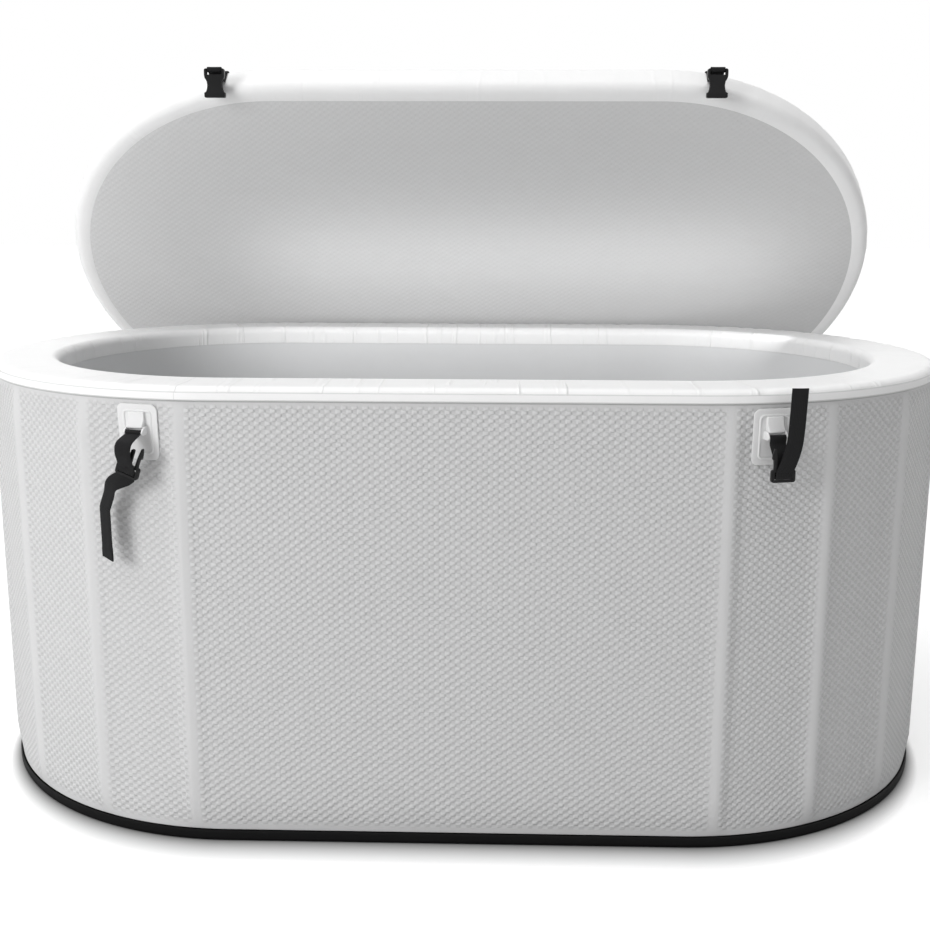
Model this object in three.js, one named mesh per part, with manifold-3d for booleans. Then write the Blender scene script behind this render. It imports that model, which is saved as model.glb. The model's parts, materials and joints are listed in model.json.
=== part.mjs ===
// Oval inflatable bathtub with drop-stitch walls and an inflatable lid on webbing straps.
// Millimetres, +X along the tub, +Y to the back, +Z up, origin on the floor under the tub's middle.
import * as THREE from 'three';
import { mergeVertices } from 'three/addons/utils/BufferGeometryUtils.js';
import Module from 'manifold-3d';

const wasm = await Module();
wasm.setup();

// Overall sizes
const tubLength = 1600;
const tubWidth = 910;
const tubHeight = 700;
const wallThickness = 105;
const lidThickness = 60;
const lidInset = 10; // the lid's outline lies this far inside the tub's
const lidRestGap = 0.4; // closed lid above the rim
const seat = 0.3; // gap between pieces that touch
const straightHalf = (tubLength - tubWidth) / 2;

// Fabric and edges
const skinThickness = 0.9;
const rimRadius = 14;
const rimInnerDrop = 32; // the white rim goes down the inside this far
const rimOuterDrop = 20;
const weltHeight = 13;
const weltThickness = 1.2;
const baseSheetThickness = 2;
const baseBandHeight = 17;
const baseBandThickness = 1.2;
const floorThickness = 50;
const floorRadius = 8;
const endSteps = 20; // facets on each round end
const cornerSteps = 2;

// Lid
const lidEdgeRadius = 16;
const lidBorder = 28; // white border round the grey underside
const lidSkinThickness = 0.9;
const lidOpenAngle = THREE.MathUtils.degToRad(49.8); // as photographed
const lidEdgeOut = 223; // middle of the lid's back edge behind the tub, as photographed
const lidEdgeDrop = 211; // and below its rim
const lidEdgeBack = tubWidth / 2 + lidEdgeOut;
const lidEdgeHeight = tubHeight - lidEdgeDrop;

// Webbing and its patches
const webWidth = 25;
const webThickness = 1.5;
const webClearance = 0.4;
const frontStrapBeyond = 110; // front straps past the end of the wall's straight
const lidBuckleBeyond = 91; // the same of the lid's front buckles
const backStrapBefore = 45; // back straps short of the straight's end
const frontStrapX = straightHalf + frontStrapBeyond;
const lidBuckleX = straightHalf + lidBuckleBeyond;
const backStrapX = straightHalf - backStrapBefore;
const patchWidth = 64;
const patchHeight = 82;
const patchRadius = 10;
const patchThickness = 1;
const patchRoot = 4; // pocket and ears are drawn from this deep and trimmed at the wall
const patchSlotDrop = 40; // from the patch's top edge to its pin
const patchTopDrop = 27; // from the tub's top to the front patches
const frameWidth = 47;
const frameHeight = 66;
const frameBand = 4;
const frameThickness = 1.2;
const pocketTopGap = 9; // from the patch's top edge to the webbing pocket
const pocketLip = 9; // the pocket's lip stands off the wall
const pocketFlat = 3;
const pocketSlopeDrop = 22; // flat part of the pocket above its slope
const pocketClear = 6; // pocket lip above the pin
const pinStandoff = 10;
const pinRadius = 2;
const earWidth = 2.4;
const earReach = 4;
const earRise = 8;
const pinSides = 8;

// Side-release buckle, male half: origin at its middle bar, prongs up
const maleWidth = 36;
const maleBarHeight = 3.4;
const maleSlotHeight = 4;
const maleEndBar = 3.4;
const maleBaseThickness = 6;
const maleProngThickness = 5;
const maleProngLength = 30;
const prongRoot = 9.5; // inner edge of a prong at its root
const prongWidth = 4.6;
const prongHookRise = 15; // from the base to the hook
const prongHookReach = 2.8;
const guideWidth = 5;
const guideLength = 24;
const slotWidth = 27;

// Side-release buckle, female half: origin at its end bar, mouth down
const femaleLength = 47; // from the bar to the mouth
const femaleWidth = 35;
const femaleMouthWidth = 36;
const femaleWaist = 25;
const femaleThickness = 11;
const femaleBarRise = 2;
const femaleBarDrop = 2;
const femaleBarThickness = 4;
const femaleSlotHeight = 6.5;
const femaleShoulder = 10; // the body keeps its full width down to here
const femaleMouthBand = 8;
const femaleWaistDrop = 25;
const femaleBevel = 1.4;
const cavityHalfHeight = 3.1;
const cavityHalfWidth = 15.2;
const cavityRoof = 16; // the cavity ends this far below the bar
const windowFoot = 13.4; // the side windows start this far above the mouth

// Hinge of the lid on its back straps
const barOut = 20; // the lid's buckle bars stand off its edge
const backBarDrop = 36; // back bars below the lid's mid-plane
const frontBarOut = 34;
const frontBarDrop = 20;
const tabStandoff = 2.2; // webbing off the lid's edge face
const lidPatchWidth = 64;
const lidPatchLength = 60;
const lidPatchEdgeGap = 20; // from the lid's outline to its patch
const lidPatchThickness = 1.2;
const lidPocketHeight = 5;
const lidPocketWidth = 31;
const lidPocketLength = 30;

// Air valves and the drain
const fittingBefore = 95; // valves and drain short of the straight's end
const valveX = -(straightHalf - fittingBefore);
const valveHeight = 120;
const valveFlangeRadius = 27;
const valveFlangeThickness = 3;
const valveBodyRadius = 21;
const valveBodyDepth = 24;
const valveBore = 15;
const valveNeckRadius = 18.5;
const valveNeckHeight = 6;
const valveShelf = 8; // solid floor of the valve body
const valveStemBore = 3.6;
const plungerRadius = 8;
const plungerThickness = 3;
const plungerStem = 3;
const plungerStemLength = 19;
const capRadius = 22.5;
const capTop = 2.4;
const capGap = 0.5;
const capRibs = 10;
const capRibRadius = 1.6;
const lidValveX = straightHalf - fittingBefore;
const lidValveInset = 150; // from the lid's back edge
const drainX = straightHalf - fittingBefore;
const drainHeight = 84;
const drainFlangeRadius = 30;
const drainTubeRadius = 17;
const drainBore = 13;
const drainNeckRadius = 20;
const drainNeckHeight = 10;
const drainNutRadius = 26;
const drainNutThickness = 5;
const drainGasket = 2;
const drainCapRadius = 25;
const roundSides = 20;
const nutSides = 6;
const overrun = 1;

// Front straps as they hang, measured from the patch's pin
const maleOut = 27;
const maleDrop = 52;
const maleDrift = 3; // away from the tub's middle
const plyOffset = maleBaseThickness / 2 + webClearance + webThickness / 2;
const climbDrift = 18; // top of the turned-up tail
const climbSteps = 9;
const fallDrift = 46; // end of the hanging tail
const maleLean = THREE.MathUtils.degToRad(20); // the hanging buckle leans to the tub's middle
const loopSlack = 12; // the left strap bulges this far off its buckle
const loopDrift = 4; // and this far away from the tub's middle
const loopSteps = 10;
const slackShares = [1 / 6, 1 / 2]; // of the buckle's drop
const loopShares = [1 / 4, 1 / 2];
const climbShares = [1 / 3, 2 / 3]; // of the tail's height and drift
const fallShares = [1.55, 2.17, 3.5, 3.6]; // of the buckle's drop
const fallDriftShares = [0.6, 0.95, 1, 0.85];

// Materials
function finish(color, roughness, metalness = 0) {
  return { color, roughness, metalness };
}
const wallGrey = finish(0xc4c7c9, 0.55);
const rimWhite = finish(0xf2f3f4, 0.4);
const linerWhite = finish(0xdfe2e4, 0.35);
const coreGrey = finish(0xb8bbbd, 0.7);
const baseBlack = finish(0x17181a, 0.6);
const patchGrey = finish(0xd9dbdc, 0.45);
const webBlack = finish(0x1b1b1d, 0.85);
const buckleBlack = finish(0x202124, 0.4);
const undersideGrey = finish(0xb3b6b8, 0.6);
const lidWhite = finish(0xeceeef, 0.45);
const valveGrey = finish(0x8d9194, 0.5);
const gasketBlack = finish(0x111111, 0.9);

// The outline that a stadium keeps at an inset from its edge, counterclockwise
function stadium(length, width, inset) {
  const straight = (length - width) / 2;
  const radius = width / 2 - inset;
  const points = [];
  for (const [side, start] of [[1, -Math.PI / 2], [-1, Math.PI / 2]]) {
    for (let i = 0; i <= endSteps; i++) {
      const turn = start + (Math.PI * i) / endSteps;
      points.push([side * straight + radius * Math.cos(turn), radius * Math.sin(turn)]);
    }
  }
  return points;
}

function closedGeometry(positions, indices) {
  const geometry = new THREE.BufferGeometry();
  geometry.setAttribute('position', new THREE.Float32BufferAttribute(positions, 3));
  geometry.setIndex(indices);
  return geometry;
}

// A closed section, given as inset and height, carried round a stadium
function ring(plan, section) {
  const positions = [];
  const indices = [];
  const outlines = section.map(([inset]) => stadium(plan.length, plan.width, inset));
  const around = outlines[0].length;
  const across = section.length;
  for (let i = 0; i < around; i++) {
    section.forEach(([, height], j) => positions.push(...outlines[j][i], height));
  }
  for (let i = 0; i < around; i++) {
    const next = (i + 1) % around;
    for (let j = 0; j < across; j++) {
      const up = (j + 1) % across;
      const corners = [i * across + j, next * across + j, next * across + up, i * across + up];
      indices.push(corners[0], corners[1], corners[2], corners[0], corners[2], corners[3]);
    }
  }
  return facingOut(closedGeometry(positions, indices));
}

// A solid stadium plate whose outline follows insets given from the bottom up
function plate(plan, levels) {
  const positions = [];
  const indices = [];
  const outlines = levels.map(([inset]) => stadium(plan.length, plan.width, inset));
  const around = outlines[0].length;
  levels.forEach(([, height], j) => outlines[j].forEach((point) => positions.push(...point, height)));
  const bottom = levels.length * around;
  const top = bottom + 1;
  positions.push(0, 0, levels[0][1], 0, 0, levels[levels.length - 1][1]);
  const last = (levels.length - 1) * around;
  for (let i = 0; i < around; i++) {
    const next = (i + 1) % around;
    for (let j = 0; j + 1 < levels.length; j++) {
      const low = j * around;
      const high = low + around;
      indices.push(low + i, low + next, high + next, low + i, high + next, high + i);
    }
    indices.push(bottom, next, i, top, last + i, last + next);
  }
  return facingOut(closedGeometry(positions, indices));
}

function facingOut(geometry) {
  const position = geometry.getAttribute('position');
  const index = geometry.getIndex().array;
  const [a, b, c] = [new THREE.Vector3(), new THREE.Vector3(), new THREE.Vector3()];
  let volume = 0;
  for (let i = 0; i < index.length; i += 3) {
    a.fromBufferAttribute(position, index[i]);
    b.fromBufferAttribute(position, index[i + 1]);
    c.fromBufferAttribute(position, index[i + 2]);
    volume += a.dot(b.cross(c));
  }
  if (volume < 0) {
    for (let i = 0; i < index.length; i += 3) {
      [index[i], index[i + 1]] = [index[i + 1], index[i]];
    }
  }
  return geometry;
}

// Quarter-round corner of a section, from one angle to the next
function corner(inset, height, radius, start) {
  const points = [];
  for (let i = 0; i <= cornerSteps; i++) {
    const turn = start + (Math.PI / 2) * (i / cornerSteps);
    points.push([inset + radius * Math.cos(turn), height + radius * Math.sin(turn)]);
  }
  return points;
}

function roundedSection(insetLow, insetHigh, heightLow, heightHigh, radius) {
  return [
    ...corner(insetHigh - radius, heightLow + radius, radius, -Math.PI / 2),
    ...corner(insetHigh - radius, heightHigh - radius, radius, 0),
    ...corner(insetLow + radius, heightHigh - radius, radius, Math.PI / 2),
    ...corner(insetLow + radius, heightLow + radius, radius, Math.PI),
  ];
}

function flatSection(insetLow, insetHigh, heightLow, heightHigh) {
  return [[insetLow, heightLow], [insetHigh, heightLow], [insetHigh, heightHigh], [insetLow, heightHigh]];
}

// Joining and cutting
function solid(geometry) {
  const bare = new THREE.BufferGeometry();
  bare.setAttribute('position', geometry.getAttribute('position').clone());
  if (geometry.getIndex()) bare.setIndex(geometry.getIndex().clone());
  const merged = mergeVertices(bare);
  const vertProperties = new Float32Array(merged.getAttribute('position').array);
  const triVerts = new Uint32Array(merged.getIndex().array);
  return new wasm.Manifold(new wasm.Mesh({ numProp: 3, vertProperties, triVerts }));
}

function shape(body) {
  const mesh = body.getMesh();
  return closedGeometry(Array.from(mesh.vertProperties), Array.from(mesh.triVerts));
}

function join(...geometries) {
  return geometries.map(solid).reduce((whole, part) => whole.add(part));
}

function cut(geometry, ...tools) {
  return shape(tools.map(solid).reduce((whole, tool) => whole.subtract(tool), solid(geometry)));
}

function joined(...geometries) {
  return shape(join(...geometries));
}

function box(xLow, xHigh, yLow, yHigh, zLow, zHigh) {
  const geometry = new THREE.BoxGeometry(xHigh - xLow, yHigh - yLow, zHigh - zLow);
  return geometry.translate((xLow + xHigh) / 2, (yLow + yHigh) / 2, (zLow + zHigh) / 2);
}

function roundedOutline(width, height, radius, middleX = 0, middleY = 0) {
  const outline = new THREE.Shape();
  const [x, y] = [middleX + width / 2, middleY + height / 2];
  const [left, low] = [middleX - width / 2, middleY - height / 2];
  outline.moveTo(left + radius, low);
  outline.lineTo(x - radius, low);
  outline.absarc(x - radius, low + radius, radius, -Math.PI / 2, 0);
  outline.absarc(x - radius, y - radius, radius, 0, Math.PI / 2);
  outline.absarc(left + radius, y - radius, radius, Math.PI / 2, Math.PI);
  outline.absarc(left + radius, low + radius, radius, Math.PI, 1.5 * Math.PI);
  return outline;
}

// An outline drawn in X and Z, thick along Y between two places
function standing(outline, yLow, yHigh, curveSegments = cornerSteps) {
  const options = { depth: yHigh - yLow, bevelEnabled: false, curveSegments };
  const geometry = new THREE.ExtrudeGeometry(outline, options);
  return geometry.rotateX(Math.PI / 2).translate(0, yHigh, 0);
}

// An outline drawn in Y and Z, as long as given along X about zero
function lengthwise(outline, width) {
  const geometry = new THREE.ExtrudeGeometry(outline, { depth: width, bevelEnabled: false });
  return geometry.rotateY(Math.PI / 2).rotateX(Math.PI / 2).translate(-width / 2, 0, 0);
}

function rod(radius, width, y, z, sides = pinSides) {
  const geometry = new THREE.CylinderGeometry(radius, radius, width, sides);
  return geometry.rotateZ(Math.PI / 2).translate(0, y, z);
}

// A turned piece about Z from a closed profile of radius and height
function turned(profile, sides = roundSides) {
  const points = profile.map(([radius, height]) => new THREE.Vector2(radius, height));
  const first = points[0];
  const closes = points[0].x === 0 && points[points.length - 1].x === 0;
  if (!closes) points.push(first.clone());
  const geometry = new THREE.LatheGeometry(points, sides).rotateX(Math.PI / 2);
  const merged = mergedBody(geometry);
  return facingOut(merged);
}

function mergedBody(geometry) {
  const bare = new THREE.BufferGeometry();
  bare.setAttribute('position', geometry.getAttribute('position').clone());
  bare.setIndex(geometry.getIndex().clone());
  const merged = mergeVertices(bare);
  const index = merged.getIndex().array;
  const kept = [];
  for (let i = 0; i < index.length; i += 3) {
    const [a, b, c] = [index[i], index[i + 1], index[i + 2]];
    if (a !== b && b !== c && a !== c) kept.push(a, b, c);
  }
  merged.setIndex(kept);
  return merged;
}

// Webbing along a centre line of X, Y, Z points, its width along X but for the turn about Y given for a point
function webbing(points, leans = []) {
  const positions = [];
  const indices = [];
  points.forEach((point, i) => {
    const [sine, cosine] = [Math.sin(leans[i] || 0), Math.cos(leans[i] || 0)];
    const before = points[Math.max(i - 1, 0)];
    const after = points[Math.min(i + 1, points.length - 1)];
    const dy = after.y - before.y;
    const dz = (after.z - before.z) * cosine + (after.x - before.x) * sine;
    const run = Math.hypot(dy, dz);
    const [ny, nz] = [(-dz / run) * (webThickness / 2), (dy / run) * (webThickness / 2)];
    for (const [across, side] of [[-1, -1], [1, -1], [1, 1], [-1, 1]]) {
      const [half, rise] = [(across * webWidth) / 2, side * nz];
      positions.push(point.x + half * cosine + rise * sine);
      positions.push(point.y + side * ny);
      positions.push(point.z - half * sine + rise * cosine);
    }
  });
  for (let i = 0; i + 1 < points.length; i++) {
    for (let j = 0; j < 4; j++) {
      const [a, b] = [i * 4 + j, i * 4 + ((j + 1) % 4)];
      indices.push(a, b, b + 4, a, b + 4, a + 4);
    }
  }
  const last = (points.length - 1) * 4;
  indices.push(0, 2, 1, 0, 3, 2, last, last + 1, last + 2, last, last + 2, last + 3);
  return facingOut(closedGeometry(positions, indices));
}

// Points on an arc in the Y, Z plane, angles from +Y towards +Z
function arc(y, z, radius, start, end, steps, x = 0) {
  const points = [];
  for (let i = 0; i <= steps; i++) {
    const turn = start + ((end - start) * i) / steps;
    points.push(new THREE.Vector3(x, y + radius * Math.cos(turn), z + radius * Math.sin(turn)));
  }
  return points;
}

function smooth(points, steps) {
  return new THREE.CatmullRomCurve3(points, false, 'centripetal').getPoints(steps);
}

const part = new THREE.Group();
function add(parent, name, geometry, look) {
  const mesh = new THREE.Mesh(geometry, new THREE.MeshStandardMaterial(look));
  mesh.name = name;
  parent.add(mesh);
  return mesh;
}

const tubPlan = { length: tubLength, width: tubWidth };
const lidPlan = { length: tubLength - 2 * lidInset, width: tubWidth - 2 * lidInset };

// A place on a plan's edge at a given X: local -Y points out of the wall
function station(plan, x, back = false) {
  const place = new THREE.Group();
  const radius = plan.width / 2;
  const beyond = Math.max(Math.abs(x) - (plan.length - plan.width) / 2, 0);
  const turn = Math.sign(x) * Math.asin(beyond / radius);
  const depth = radius * Math.cos(turn);
  place.position.set(x, back ? depth : -depth, 0);
  place.rotation.z = back ? Math.PI - turn : turn;
  return place;
}

// Tub walls, floor and edges
const wallFoot = baseSheetThickness + seat;
const coreInset = skinThickness + seat;
const wallTop = tubHeight - coreInset;
const coreRadius = rimRadius - coreInset;
const valvePlaces = { valve: [valveX, valveHeight], drain: [drainX, drainHeight] };

function hole(radius, [x, z], yLow, yHigh) {
  return new THREE.CylinderGeometry(radius, radius, yHigh - yLow, roundSides)
    .translate(0, (yLow + yHigh) / 2, 0).translate(x, 0, z);
}

const backFace = tubWidth / 2;
const innerFace = backFace - wallThickness;
const core = ring(tubPlan, roundedSection(coreInset, wallThickness - coreInset, wallFoot, wallTop, coreRadius));
const coreCut = cut(
  core,
  hole(valveBodyRadius + seat, valvePlaces.valve, backFace - coreInset - valveBodyDepth, backFace + overrun),
  hole(drainTubeRadius + seat, valvePlaces.drain, innerFace - overrun, backFace + overrun),
);
add(part, 'wall_core', coreCut, coreGrey);

const skinFoot = baseBandHeight + seat;
const skinTop = tubHeight - rimOuterDrop - seat;
const skin = ring(tubPlan, flatSection(0, skinThickness, skinFoot, skinTop));
const skinCut = cut(
  skin,
  hole(valveBodyRadius + seat, valvePlaces.valve, backFace - coreInset, backFace + overrun),
  hole(drainTubeRadius + seat, valvePlaces.drain, backFace - coreInset, backFace + overrun),
);
add(part, 'outer_wall_skin', skinCut, wallGrey);

const linerTop = tubHeight - rimInnerDrop - seat;
const linerFoot = wallFoot + floorThickness + seat;
const liner = ring(tubPlan, flatSection(wallThickness - skinThickness, wallThickness, linerFoot, linerTop));
const linerBore = drainTubeRadius + seat;
const linerHole = hole(linerBore, valvePlaces.drain, innerFace - overrun, innerFace + coreInset);
add(part, 'inner_liner', cut(liner, linerHole), linerWhite);

const rimOuterFoot = tubHeight - rimOuterDrop;
const rimInnerFoot = tubHeight - rimInnerDrop;
const rimInnerCorner = wallThickness - rimRadius;
const rimTopLine = tubHeight - rimRadius;
const rimShell = rimRadius - skinThickness;
const rimSection = [
  [0, rimOuterFoot],
  ...corner(rimRadius, rimTopLine, rimRadius, Math.PI / 2).reverse(),
  ...corner(rimInnerCorner, rimTopLine, rimRadius, 0).reverse(),
  [wallThickness, rimInnerFoot],
  [wallThickness - skinThickness, rimInnerFoot],
  ...corner(rimInnerCorner, rimTopLine, rimShell, 0),
  ...corner(rimRadius, rimTopLine, rimShell, Math.PI / 2),
  [skinThickness, rimOuterFoot],
];
add(part, 'rim_cover', ring(tubPlan, rimSection), rimWhite);

const weltSection = flatSection(-seat - weltThickness, -seat, rimOuterFoot, rimOuterFoot + weltHeight);
weltSection[3][1] -= weltThickness / 2;
weltSection[0][1] += weltThickness / 2;
add(part, 'rim_welt', ring(tubPlan, weltSection), rimWhite);

const floorInset = wallThickness + seat;
const floorLevels = [
  [floorInset, wallFoot],
  [floorInset, wallFoot + floorThickness - floorRadius],
  [floorInset + floorRadius, wallFoot + floorThickness],
];
add(part, 'floor_panel', plate(tubPlan, floorLevels), linerWhite);
add(part, 'base_sheet', plate(tubPlan, [[-seat, 0], [-seat, baseSheetThickness]]), baseBlack);
const bandLow = baseSheetThickness + seat;
const bandSection = flatSection(-seat - baseBandThickness, -seat, bandLow, baseBandHeight);
add(part, 'base_band', ring(tubPlan, bandSection), baseBlack);

// Strap patches: a welded plate, a raised frame, the webbing's pocket and its pin
function pocketGeometry(pinHeight, patchTop) {
  const outline = new THREE.Shape();
  const lip = pinHeight + pocketClear;
  const top = patchTop - pocketTopGap;
  const flat = Math.min(top, patchTop - pocketSlopeDrop);
  outline.moveTo(patchRoot, lip);
  outline.lineTo(-pocketLip, lip);
  outline.lineTo(-pocketLip, lip + webThickness);
  outline.lineTo(-pocketFlat, flat);
  outline.lineTo(-pocketFlat, top - pocketFlat);
  outline.lineTo(patchRoot, top);
  return lengthwise(outline, webWidth);
}

function patchGeometry(place, pinHeight) {
  const patchTop = pinHeight + patchSlotDrop;
  const middle = patchTop - patchHeight / 2;
  const [low, high] = [middle - patchHeight, middle + patchHeight];
  const shell = ring(tubPlan, flatSection(-seat - patchThickness, -seat, low, high));
  const raised = seat + patchThickness + frameThickness;
  const frameShell = ring(tubPlan, flatSection(-raised, -seat, low, high));
  place.updateMatrixWorld();
  const toWorld = place.matrixWorld;
  const reach = patchWidth;
  const plateTool = standing(roundedOutline(patchWidth, patchHeight, patchRadius, 0, middle), -reach, reach);
  const frameOutline = roundedOutline(frameWidth, frameHeight, patchRadius, 0, middle);
  const inside = roundedOutline(
    frameWidth - 2 * frameBand, frameHeight - 2 * frameBand, patchRadius - frameBand, 0, middle,
  );
  frameOutline.holes.push(inside);
  const frameTool = standing(frameOutline, -reach, reach);
  const plateBody = solid(shell).intersect(solid(plateTool.applyMatrix4(toWorld)));
  const frameBody = solid(frameShell).intersect(solid(frameTool.applyMatrix4(toWorld)));
  const earInner = webWidth / 2 + webClearance;
  const pieces = [pocketGeometry(pinHeight, patchTop)];
  for (const side of [-1, 1]) {
    const [left, right] = [side * earInner, side * (earInner + earWidth)].sort((a, b) => a - b);
    const [foot, top] = [pinHeight - earReach, pinHeight + earRise];
    pieces.push(box(left, right, -pinStandoff - earReach, patchRoot, foot, top));
  }
  pieces.push(rod(pinRadius, 2 * earInner + earWidth, -pinStandoff, pinHeight));
  const local = join(...pieces.map((piece) => piece.applyMatrix4(toWorld)));
  const wall = ring(tubPlan, flatSection(-seat, wallThickness, low, high));
  return shape(plateBody.add(frameBody).add(local.subtract(solid(wall))));
}

const frontPinHeight = tubHeight - patchTopDrop - patchSlotDrop;

// Where the back straps' pins must be for the lid to close and to lie as photographed
const backPinY = tubWidth / 2 + pinStandoff;
const closedBar = [tubWidth / 2 - lidInset + barOut, tubHeight + lidRestGap + lidThickness / 2 - backBarDrop];
const restBar = [
  lidEdgeBack + barOut * Math.cos(lidOpenAngle) - backBarDrop * Math.sin(lidOpenAngle),
  lidEdgeHeight - barOut * Math.sin(lidOpenAngle) - backBarDrop * Math.cos(lidOpenAngle),
];
const closedReach = (closedBar[0] - backPinY) ** 2 + closedBar[1] ** 2;
const restReach = (restBar[0] - backPinY) ** 2 + restBar[1] ** 2;
const backPinHeight = (closedReach - restReach) / (2 * (closedBar[1] - restBar[1]));
const linkLength = Math.hypot(closedBar[0] - backPinY, closedBar[1] - backPinHeight);
const linkTurn = Math.atan2(restBar[1] - backPinHeight, restBar[0] - backPinY) - Math.PI / 2;

for (const [side, name] of [[-1, 'left'], [1, 'right']]) {
  const front = patchGeometry(station(tubPlan, side * frontStrapX), frontPinHeight);
  add(part, `front_patch_${name}`, front, patchGrey);
  const back = patchGeometry(station(tubPlan, side * backStrapX, true), backPinHeight);
  add(part, `back_patch_${name}`, back, patchGrey);
}

// Buckle halves
function maleGeometry() {
  const half = maleBarHeight / 2 + maleSlotHeight + maleEndBar;
  const slotMiddle = maleBarHeight / 2 + maleSlotHeight / 2;
  const base = roundedOutline(maleWidth, 2 * half, maleEndBar);
  const depth = maleBaseThickness / 2;
  const slots = [-slotMiddle, slotMiddle].map((middle) => box(-slotWidth / 2, slotWidth / 2, -depth - overrun,
    depth + overrun, middle - maleSlotHeight / 2, middle + maleSlotHeight / 2));
  const pieces = [cut(standing(base, -depth, depth), ...slots)];
  const tip = half + maleProngLength;
  const hook = half + prongHookRise;
  for (const side of [-1, 1]) {
    const prong = new THREE.Shape();
    const outer = prongRoot + prongWidth;
    prong.moveTo(side * prongRoot, half - overrun);
    prong.lineTo(side * outer, half - overrun);
    prong.lineTo(side * outer, hook);
    prong.lineTo(side * (outer + prongHookReach), hook);
    prong.quadraticCurveTo(side * (outer + prongHookReach), (hook + tip) / 2, side * outer, tip);
    prong.lineTo(side * (prongRoot + prongHookReach), tip);
    prong.quadraticCurveTo(side * prongRoot, hook, side * prongRoot, half);
    pieces.push(standing(prong, -maleProngThickness / 2, maleProngThickness / 2));
  }
  const guide = roundedOutline(guideWidth, guideLength + overrun, guideWidth / 2 - seat, 0,
    half + (guideLength - overrun) / 2);
  pieces.push(standing(guide, -maleProngThickness / 2, maleProngThickness / 2));
  return joined(...pieces);
}

function femaleGeometry() {
  const outline = new THREE.Shape();
  const [top, mouth] = [femaleWidth / 2, femaleMouthWidth / 2];
  const waist = femaleWaist / 2;
  const radius = femaleBarRise + femaleBarDrop;
  outline.moveTo(-mouth + femaleBevel, -femaleLength);
  outline.lineTo(mouth - femaleBevel, -femaleLength);
  outline.lineTo(mouth, -femaleLength + femaleBevel);
  outline.lineTo(mouth, -femaleLength + femaleMouthBand);
  outline.bezierCurveTo(waist, -femaleLength + femaleMouthBand, waist, -femaleWaistDrop - femaleBevel, waist,
    -femaleWaistDrop);
  outline.bezierCurveTo(waist, -femaleShoulder - femaleSlotHeight, top, -femaleShoulder - femaleSlotHeight, top,
    -femaleShoulder);
  outline.lineTo(top, femaleBarRise - radius);
  outline.quadraticCurveTo(top, femaleBarRise, top - radius, femaleBarRise);
  outline.lineTo(-top + radius, femaleBarRise);
  outline.quadraticCurveTo(-top, femaleBarRise, -top, femaleBarRise - radius);
  outline.lineTo(-top, -femaleShoulder);
  outline.bezierCurveTo(-top, -femaleShoulder - femaleSlotHeight, -waist,
    -femaleShoulder - femaleSlotHeight, -waist, -femaleWaistDrop);
  outline.bezierCurveTo(-waist, -femaleWaistDrop - femaleBevel, -waist, -femaleLength + femaleMouthBand, -mouth,
    -femaleLength + femaleMouthBand);
  outline.lineTo(-mouth, -femaleLength + femaleBevel);
  const half = femaleThickness / 2;
  const body = standing(outline, -half, half, 2 * cornerSteps);
  const [below, sill] = [-femaleLength - overrun, -femaleLength + windowFoot];
  const [near, far] = [-cavityHalfHeight, cavityHalfHeight];
  const cavity = box(-cavityHalfWidth, cavityHalfWidth, near, far, below, -cavityRoof);
  const windows = box(-mouth, mouth, near, far, sill, -cavityRoof);
  const slot = box(-slotWidth / 2, slotWidth / 2, -half - overrun, half + overrun,
    -femaleBarDrop - femaleSlotHeight, -femaleBarDrop);
  const thinTop = [-1, 1].map((side) => {
    const [low, high] = [side * femaleBarThickness / 2, side * (half + overrun)].sort((a, b) => a - b);
    return box(-slotWidth / 2, slotWidth / 2, low, high, -femaleBarDrop - seat, femaleBarRise + overrun);
  });
  return cut(body, cavity, windows, slot, ...thinTop);
}

const matedBars = femaleLength + seat + maleBarHeight / 2 + maleSlotHeight + maleEndBar;

// The webbing's eye round a bar at the origin of its plane, leaving it along -Y then down
const eyeRadius = pinRadius + webClearance + webThickness / 2;
const eyeSteps = 8;
const eyeShut = THREE.MathUtils.degToRad(40);

// Back straps: webbing from the wall pin to the male half, its tail folded back along it
const tailLength = 70;
const tailGap = 3;
function backWebbing() {
  const length = linkLength - matedBars;
  const slotZ = length - maleBarHeight / 2 - maleSlotHeight / 2;
  const side = plyOffset;
  const clip = maleBarHeight / 2 + maleSlotHeight + maleEndBar;
  return webbing([
    ...arc(0, 0, eyeRadius, -Math.PI / 2 - eyeShut, -2 * Math.PI, eyeSteps),
    new THREE.Vector3(0, eyeRadius, eyeRadius + webThickness),
    new THREE.Vector3(0, -side, length - clip - side),
    ...arc(-side + webThickness, slotZ - webThickness, webThickness, Math.PI, Math.PI / 2, 2),
    ...arc(side - webThickness, slotZ - webThickness, webThickness, Math.PI / 2, 0, 2),
    new THREE.Vector3(0, side, length - clip - side),
    new THREE.Vector3(0, side + tailGap, slotZ - tailLength),
  ]);
}

for (const [side, name] of [[-1, 'left'], [1, 'right']]) {
  const link = new THREE.Group();
  link.position.set(side * backStrapX, backPinY, backPinHeight);
  link.rotation.x = linkTurn;
  part.add(link);
  add(link, `back_strap_${name}`, backWebbing(), webBlack);
  const male = add(link, `back_male_${name}`, maleGeometry(), buckleBlack);
  male.position.z = linkLength - matedBars;
  const female = add(link, `back_female_${name}`, femaleGeometry(), buckleBlack);
  female.position.z = linkLength;
}

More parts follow.
